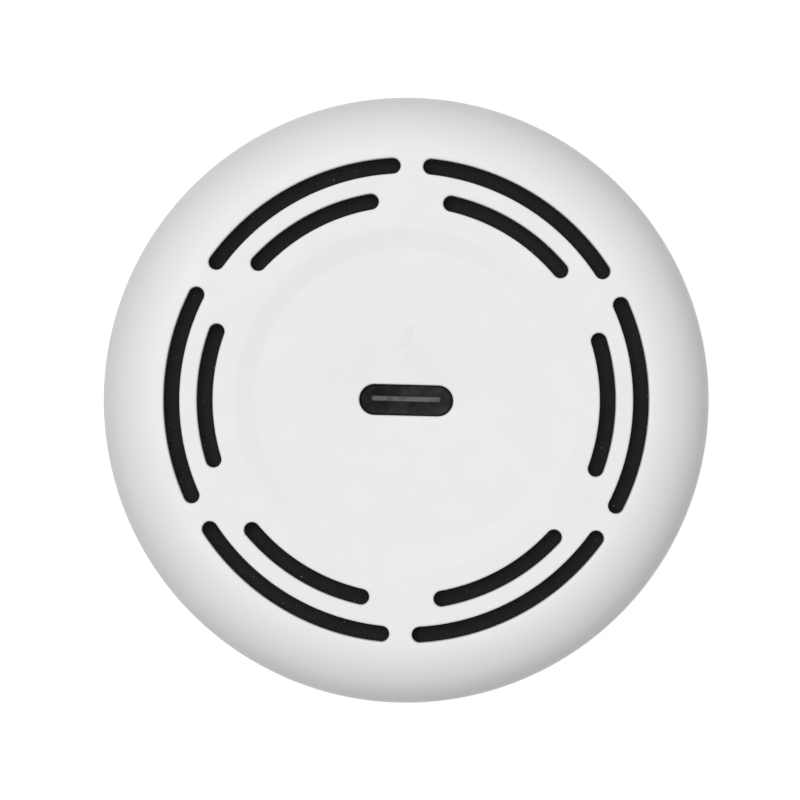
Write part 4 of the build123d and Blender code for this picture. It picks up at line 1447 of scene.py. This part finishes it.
@dataclass
class EndCap:
    """Vented end cap that the picture looks at, with the mesh behind its slots and the charging sign.

    Each row of slots is the radius of its centre line and the angle that a slot spans.
    """

    radius: float = 27.5
    edge: float = 5.5
    edge_steps: int = 36
    low: float = 250.0
    top: float = 267.0
    inner_top: float = 265.0
    inner_radius: float = 25.3
    inner_rounding: float = 1.5
    inner_steps: int = 6
    spigot_low: float = 245.0
    spigot_radius: float = 25.25
    spigot_inner: float = 23.65
    spigot_taper: float = 2.0
    seam: float = 0.3
    slot_pairs: int = 6
    slot_width: float = 1.45
    slot_rows: tuple[Flat, ...] = ((21.2, 50.6), (18.2, 37.0))
    slot_soft: float = 0.16
    dish_radius: float = 15.8
    dish_floor: float = 13.4
    dish_depth: float = 0.25
    dish_ease: float = 0.2
    dish_steps: int = 16
    port: Flat = (8.5, 2.8)
    port_soft: float = 0.15
    flat_margin: float = 0.1
    mesh_radii: Range = (16.675, 22.725)
    mesh_heights: Range = (264.2, 265.0)
    mesh_hem: float = 0.7
    mesh_hem_soft: float = 0.08
    mesh_edge_soft: float = 0.2
    mesh_sunk: float = 0.2
    sign_outline: tuple[Flat, ...] = ((-0.55, -1.75), (1.05, 0.35), (0.15, 0.35), (0.55, 1.95), (-0.2, 1.95),
                                      (-1.0, 0.05), (-0.1, 0.05))
    sign_place: Flat = (0.0, 4.7)
    sign_height: float = 0.01
    sign_sunk: float = 0.05

    def build(self) -> Pieces:
        """Makes the cap, the mesh behind its slots and the charging sign.

        Returns:
            The pieces.
        """
        cap = settle(self.shell().piece("vented_cap", WHITE_SATIN), Body.BARREL, Slot.WHITE, "end_cap")
        mesh = settle(self.mesh().piece("slot_mesh", BLACK_WEAVE), Body.BARREL, Slot.MESH, "exhaust_mesh")
        sign = settle(self.sign().piece("charging_sign", PALE_PRINT), Body.BARREL, Slot.WHITE)
        return [cap, mesh, sign]

    def mesh(self) -> Surface:
        """Ring of black mesh with thicker hems, just under the slots.

        Returns:
            The surface.
        """
        inner, outer = self.mesh_radii
        low, high = self.mesh_heights
        hem = outer - self.mesh_hem
        fine, wide = self.mesh_hem_soft, self.mesh_edge_soft
        half = [(hem, low + self.mesh_sunk, fine), (hem, low, fine), (outer, low, wide), (outer, high, wide),
                (hem, high, fine), (hem, high - self.mesh_sunk, fine)]
        other = [(inner + outer - radius, low + high - height, soft) for radius, height, soft in half]
        return Surface().turned(rounded(*half, *other))

    def sign(self) -> Surface:
        """Thin print of a lightning bolt above the port.

        Returns:
            The surface.
        """
        floor = self.top - self.dish_depth
        across, up = self.sign_place
        outline = [(across + x, up + y) for x, y in self.sign_outline]
        return Surface().prism(outline, floor - self.sign_sunk, floor + self.sign_height)

    def slots(self, grow: float) -> list[list[Flat]]:
        """Outlines of all slots.

        Args:
            grow: Distance that the outlines are grown by.

        Returns:
            The outlines.
        """
        half_width = self.slot_width / 2 + grow
        step = 360 / self.slot_pairs
        return [curved_slot(middle, span, half_width, pair * step)
                for pair in range(self.slot_pairs) for middle, span in self.slot_rows]

    def shell(self) -> Surface:
        """Closed surface of the cap.

        Returns:
            The surface.
        """
        margin = self.slot_soft + self.flat_margin
        rim = max(middle for middle, _ in self.slot_rows) + self.slot_width / 2 + margin + self.flat_margin
        surface = Surface()
        surface.turned(self.outside(rim), closed=False)
        surface.plate([circle(rim), circle(self.dish_radius), *self.slots(margin)], self.top)
        self.open_slots(surface, margin)
        surface.turned(self.dish(), closed=False)
        self.open_port(surface)
        under = [circle(self.inner_radius - self.inner_rounding), *self.slots(0.0), stadium(*self.port)]
        surface.plate(under, self.inner_top, upward=False)
        return surface

    def outside(self, rim: float) -> list[Flat]:
        """Outline from the underside of the face, round the spigot, to the flat of the face.

        Args:
            rim: Radius at which the outline meets the flat.

        Returns:
            The outline.
        """
        fillet = self.inner_rounding
        inside = arc((self.inner_radius - fillet, self.inner_top - fillet), fillet, 90, 0, self.inner_steps)
        spigot = [
            (self.inner_radius, self.low + 2 * self.spigot_taper),
            (self.spigot_inner, self.low + self.spigot_taper),
            (self.spigot_inner, self.spigot_low),
            (self.spigot_radius, self.spigot_low),
            (self.spigot_radius, self.low),
        ]
        seam = arc((self.radius - self.seam, self.low + self.seam), self.seam, -90, 0, SEAM_STEPS)
        centre = (self.radius - self.edge, self.top - self.edge)
        tilt = math.degrees(math.acos((rim - centre[0]) / self.edge))
        edge = arc(centre, self.edge, 0, tilt, self.edge_steps)
        return [*inside, *spigot, *seam, *edge[:-1], (rim, self.top)]

    def open_slots(self, surface: Surface, margin: float) -> None:
        """Rounds the edges of the slots and walls them down to the underside.

        Args:
            surface: Surface of the cap.
            margin: Distance from the slots at which the flat starts.
        """
        steps = [(margin, 0.0), *softened(self.slot_soft)]
        levels = [(self.slots(grow), self.top - drop) for grow, drop in steps]
        levels.append((self.slots(0.0), self.inner_top))
        for index in range(self.slot_pairs * len(self.slot_rows)):
            surface.strips([surface.row(outlines[index], height) for outlines, height in levels])

    def dish(self) -> list[Flat]:
        """Slope of the shallow dish, eased at both ends.

        Returns:
            The outline, from the dish's outer edge to its floor.
        """
        ease = self.dish_ease
        outline = []
        for share in spaced(0.0, 1.0, self.dish_steps):
            near = min(share, 1 - share)
            eased = near**2 / (2 * ease) if near < ease else near - ease / 2
            blend = eased / (1 - ease)
            drop = self.dish_depth * (blend if share <= 0.5 else 1 - blend)
            outline.append((self.dish_radius + (self.dish_floor - self.dish_radius) * share, self.top - drop))
        return outline

    def open_port(self, surface: Surface) -> None:
        """Floors the dish and walls the opening of the charging port.

        Args:
            surface: Surface of the cap.
        """
        floor = self.top - self.dish_depth
        width, height = self.port
        edge = 2 * self.port_soft
        surface.plate([circle(self.dish_floor), stadium(width + edge, height + edge)], floor)
        rows = [surface.row(stadium(width + 2 * grow, height + 2 * grow), floor - drop)
                for grow, drop in softened(self.port_soft)]
        surface.strips([*rows, surface.row(stadium(width, height), self.inner_top)])


@dataclass
class ChargingPort:
    """Metal shell of the charging socket and the tongue inside it."""

    low: float = 255.7
    top: float = 265.0
    shell: Flat = (8.94, 3.26)
    wall: float = 0.3
    lip: float = 0.1
    base: float = 1.5
    base_gap: float = 0.05
    tongue: Flat = (6.35, 0.44)
    tongue_shift: float = 0.115
    tongue_top: float = 264.2
    tongue_soft: float = 0.12

    def build(self) -> Pieces:
        """Makes the socket's sleeve and its tongue.

        Returns:
            The pieces.
        """
        return [
            settle(self.sleeve().piece("socket_sleeve", PORT_STEEL), Body.BARREL, Slot.STEEL, "usb_shell"),
            settle(self.blade().piece("socket_tongue", TONGUE_GREY), Body.BARREL, Slot.TONGUE, "usb_tongue"),
        ]

    def outline(self, inset: float) -> list[Flat]:
        """Outline of the socket, moved inwards by an inset."""
        return stadium(self.shell[0] - 2 * inset, self.shell[1] - 2 * inset)

    def sleeve(self) -> Surface:
        """Rounded tube of the socket.

        Returns:
            The surface.
        """
        shoulder = self.top - self.lip
        steps = ((0.0, self.low), (0.0, shoulder), (self.lip, self.top), (self.wall - self.lip, self.top),
                 (self.wall, shoulder), (self.wall, self.low), (0.0, self.low))
        surface = Surface()
        return surface.strips([surface.row(self.outline(inset), level) for inset, level in steps])

    def blade(self) -> Surface:
        """Tongue on its base.

        Returns:
            The surface.
        """
        surface = Surface().prism(self.outline(self.wall + self.base_gap), self.low, self.low + self.base)
        across, half = self.tongue[0] / 2, self.tongue[1] / 2
        near, far = self.tongue_shift - half, self.tongue_shift + half
        places = ((across, near), (across, far), (-across, far), (-across, near))
        tongue = rounded(*((*place, self.tongue_soft) for place in places))
        return surface.prism(tongue, self.low + self.base / 2, self.tongue_top, self.tongue_soft)


@dataclass
class PlateScrews:
    """Screws with a hexagon socket that hold the motor plate from below, in a ring."""

    array: RingArray
    count: int = 3
    first: float = 90.0
    place: float = 23.55
    seat: float = 109.0
    length: float = 9.0
    shank: float = 1.0
    tip_share: float = 0.4
    head: float = 1.6
    head_height: float = 1.4
    head_curve: tuple[Flat, ...] = ((1.0, 0.0), (1.0, 0.6), (0.86, 0.95), (0.7, 1.0))
    key_sides: int = 6
    key_share: float = 0.55
    key_depth: float = 0.6
    steps: int = 48

    def build(self) -> Pieces:
        """Makes the ring of screws, the only piece here.

        Returns:
            The piece.
        """
        screw = self.screw().piece("plate_socket_screws", BRIGHT_STEEL)
        ring = self.array.spread(screw, BRIGHT_STEEL, self.count, first=self.first)
        return [settle(ring, Body.BARREL, Slot.STEEL, "plate_screws")]

    def screw(self) -> Surface:
        """One screw, pointing up from its seat, from its tip to the floor of its socket.

        Returns:
            The surface.
        """
        tip = self.shank * self.tip_share
        profile = [(tip, self.length), (self.shank, self.length - self.shank + tip), (self.shank, 0.0)]
        profile += [(self.head * share, -self.head_height * drop) for share, drop in self.head_curve]
        levels = [(circle(radius, self.steps), rise) for radius, rise in profile]
        levels += [(self.hexagon(), -self.head_height * share) for share in (1.0, 1.0 - self.key_depth)]
        return Surface().bar([(self.place + x, y, self.seat + rise) for x, y in reversed(outline)]
                             for outline, rise in levels)

    def hexagon(self) -> list[Flat]:
        """Points around the socket, as many as around the screw.

        Returns:
            The points, counter-clockwise.
        """
        side = math.tau / self.key_sides
        flat = self.head * self.key_share * math.cos(side / 2)
        outline = []
        for turn in spaced(0.0, math.tau, self.steps)[:-1]:
            radius = flat / math.cos(turn % side - side / 2)
            outline.append((radius * math.cos(turn), radius * math.sin(turn)))
        return outline


@dataclass
class Interior:
    """Pieces of the model that keep their solids and only get a finish."""

    finishes: tuple[tuple[Finish, tuple[str, ...]], ...] = (
        (MATT_BLACK, ("motor_plate", "chassis", "front_holder", "rear_holder", "mesh_retainer", "fan_shroud",
                      "diffuser")),
        (SOFT_RUBBER, ("front_isolator", "rear_isolator")),
        (BRIGHT_STEEL, ("motor_board_screws", "board_screws", "charge_screws", "rotor_shaft", "front_bearing",
                        "rear_bearing")),
        (CORE_SHEETS, ("stator_core",)),
        (NICKEL_STRIP, ("front_links", "rear_links")),
        (CAST_ALLOY, ("motor_can", "impeller")),
        (COPPER_TURNS, ("stator_coils",)),
        (MAGNET_PLATE, ("rotor_magnet",)),
        (CELL_WRAP, ("battery_cell_1", "battery_cell_2", "battery_cell_3")),
        (BOARD_GREEN, ("main_board", "motor_board", "charge_board")),
        (CHIP_BLACK, ("power_transistors", "tact_switch")),
        (PLUNGER_IVORY, ("switch_plunger",)),
        (CAPACITOR_CAN, ("capacitor",)),
        (LIGHT_CHIP, ("status_lights",)),
        (LEAD_RED, ("battery_leads", "charge_leads")),
        (LEAD_BLACK, ("motor_leads",)),
    )

    def build(self) -> Pieces:
        """Gives every remaining solid its finish.

        Returns:
            The solids.
        """
        solids = []
        for finish, names in self.finishes:
            for name in names:
                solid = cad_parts[name]
                solid.data.materials.clear()
                solid.data.materials.append(finish.material())
                solids.append(solid)
        return solids


class WhiteTree(Wiring):
    """Tree of the floor or the surroundings, which look white whatever light they give the object."""

    def seen(self) -> Socket:
        """Value that is 1 for rays by which the camera sees, direct, mirrored or through a clear wall.

        Returns:
            The value.
        """
        path = self.add("ShaderNodeLightPath").outputs
        direct_or_mirrored = self.result("MAXIMUM", path["Is Camera Ray"], path["Is Glossy Ray"])
        return self.result("MAXIMUM", direct_or_mirrored, path["Is Transmission Ray"])

    def grey(self, kind: str, level: float) -> Socket:
        """Plain grey shader of a kind."""
        return self.add(kind, color=(level, level, level, 1.0)).outputs[0]

    def show(self, end: str, lit: Socket, shown: Socket) -> None:
        """Ends the tree in one shader for what lights the object and another for what the camera sees."""
        mixed = self.add("ShaderNodeMixShader", self.seen(), lit, shown)
        self.put(self.tree.nodes[end].inputs["Surface"], mixed.outputs[0])


@dataclass
class Studio:
    """Pale floor, soft lamps, even surroundings and the camera above the end cap; lengths in metres."""

    floor_half: float = 20.0
    floor_bounce: float = 0.62
    floor_shade: float = 0.3
    floor_glow: float = 0.85
    sky: float = 0.29
    backdrop: float = 1.0
    key_power: float = 15.0
    key_size: float = 1.0
    key_distance: float = 1.5
    key_tilt: float = 11.5
    key_side: float = 135.0
    table_power: float = 0.68
    table_size: float = 0.56
    table_spread: float = 110.0
    table_height: float = 0.0005
    outline_height: float = 0.2615
    outline_width: float = 0.055
    outline_pixels: float = 604.9
    picture_pixels: float = 800.0
    outline_centre: Flat = (406.2, 400.2)
    camera_distance: float = 0.7
    camera_roll: float = 1.4
    camera_reach: Range = (0.01, 100.0)

    def build(self) -> None:
        """Sets up the whole studio."""
        bpy.context.scene.view_settings.view_transform = "Standard"
        self.floor()
        self.surroundings()
        self.lamps()
        self.camera()

    def floor(self) -> None:
        """Lays the floor, which looks white and keeps a soft shadow."""
        half = self.floor_half
        mesh = bpy.data.meshes.new("floor")
        corners = [(-half, -half, 0.0), (half, -half, 0.0), (half, half, 0.0), (-half, half, 0.0)]
        mesh.from_pydata(corners, [], [(0, 1, 2, 3)])
        material = bpy.data.materials.new("studio_floor")
        material.use_nodes = True
        white = WhiteTree(material.node_tree)
        white.tree.nodes.remove(white.tree.nodes["Principled BSDF"])
        shade = white.grey("ShaderNodeBsdfDiffuse", self.floor_shade)
        glow = white.grey("ShaderNodeEmission", self.floor_glow)
        bounce = white.grey("ShaderNodeBsdfDiffuse", self.floor_bounce)
        white.show("Material Output", bounce, white.add("ShaderNodeAddShader", shade, glow).outputs[0])
        mesh.materials.append(material)
        floor = placed("floor", mesh)

    def surroundings(self) -> None:
        """Lights the scene evenly from all sides, before a white background."""
        world = bpy.data.worlds.new("studio")
        world.use_nodes = True
        bpy.context.scene.world = world
        white = WhiteTree(world.node_tree)
        white.tree.nodes.remove(white.tree.nodes["Background"])
        lit, shown = (white.grey("ShaderNodeBackground", level) for level in (self.sky, self.backdrop))
        white.show("World Output", lit, shown)

    def lamp(self, name: str, power: float, size: float, place: Vector, way: Vector, spread: float = 180.0,
             mirrored: bool = True) -> None:
        """Adds a round soft lamp that the camera doesn't see.

        Args:
            name: Name of the lamp.
            power: Power in watts.
            size: Diameter.
            place: Middle of the lamp.
            way: Direction from what it lights to the lamp.
            spread: Angle that its light fills, in degrees.
            mirrored: Whether glossy surfaces mirror it.
        """
        data = bpy.data.lights.new(name, "AREA")
        data.shape = "DISK"
        data.energy = power
        data.size = size
        data.spread = math.radians(spread)
        lamp = placed(name, data)
        lamp.location = place
        lamp.rotation_euler = way.to_track_quat("Z", "Y").to_euler()
        lamp.visible_camera = False
        lamp.visible_glossy = mirrored
        lamp.visible_transmission = False

    def lamps(self) -> None:
        """Hangs the main lamp at the upper left of the cap, and lights the sides as a white table does."""
        tilt, side = math.radians(self.key_tilt), math.radians(self.key_side)
        way = Vector((math.sin(tilt) * math.cos(side), math.sin(tilt) * math.sin(side), math.cos(tilt)))
        place = Vector((0.0, 0.0, self.outline_height)) + way * self.key_distance
        self.lamp("main_lamp", self.key_power, self.key_size, place, way)
        self.lamp("table_lamp", self.table_power, self.table_size, Vector((0.0, 0.0, self.table_height)),
                  Vector((0.0, 0.0, -1.0)), self.table_spread, mirrored=False)

    def camera(self) -> None:
        """Points the camera straight down at the end cap, framed as the picture is."""
        data = bpy.data.cameras.new("camera")
        view_width = self.outline_width * self.picture_pixels / self.outline_pixels
        data.lens = data.sensor_width * self.camera_distance / view_width
        middle = self.picture_pixels / 2
        data.shift_x = (middle - self.outline_centre[0]) / self.picture_pixels
        data.shift_y = (self.outline_centre[1] - middle) / self.picture_pixels
        data.clip_start, data.clip_end = self.camera_reach
        camera = placed("camera", data)
        camera.location = (0.0, 0.0, self.outline_height + self.camera_distance)
        camera.rotation_euler = (0.0, 0.0, math.radians(self.camera_roll))
        bpy.context.scene.camera = camera


def main() -> None:
    """Builds and dresses the units in order, reports their pieces, and sets up the studio."""
    logging.basicConfig(level=logging.INFO, format="%(message)s")
    array = RingArray()
    units = (CupUnit(), Flap(), FilterUnit(array), Barrel(), Controls(), EndCap(), ChargingPort(),
             PlateScrews(array), Interior())
    for unit in units:
        for piece in unit.build():
            finish, faces = piece.data.materials[0].name, len(piece.data.polygons)
            LOG.info("%s: %s in %s, %d faces", type(unit).__name__, piece.name, finish, faces)
    Studio().build()


if __name__ == "__main__":
    main()
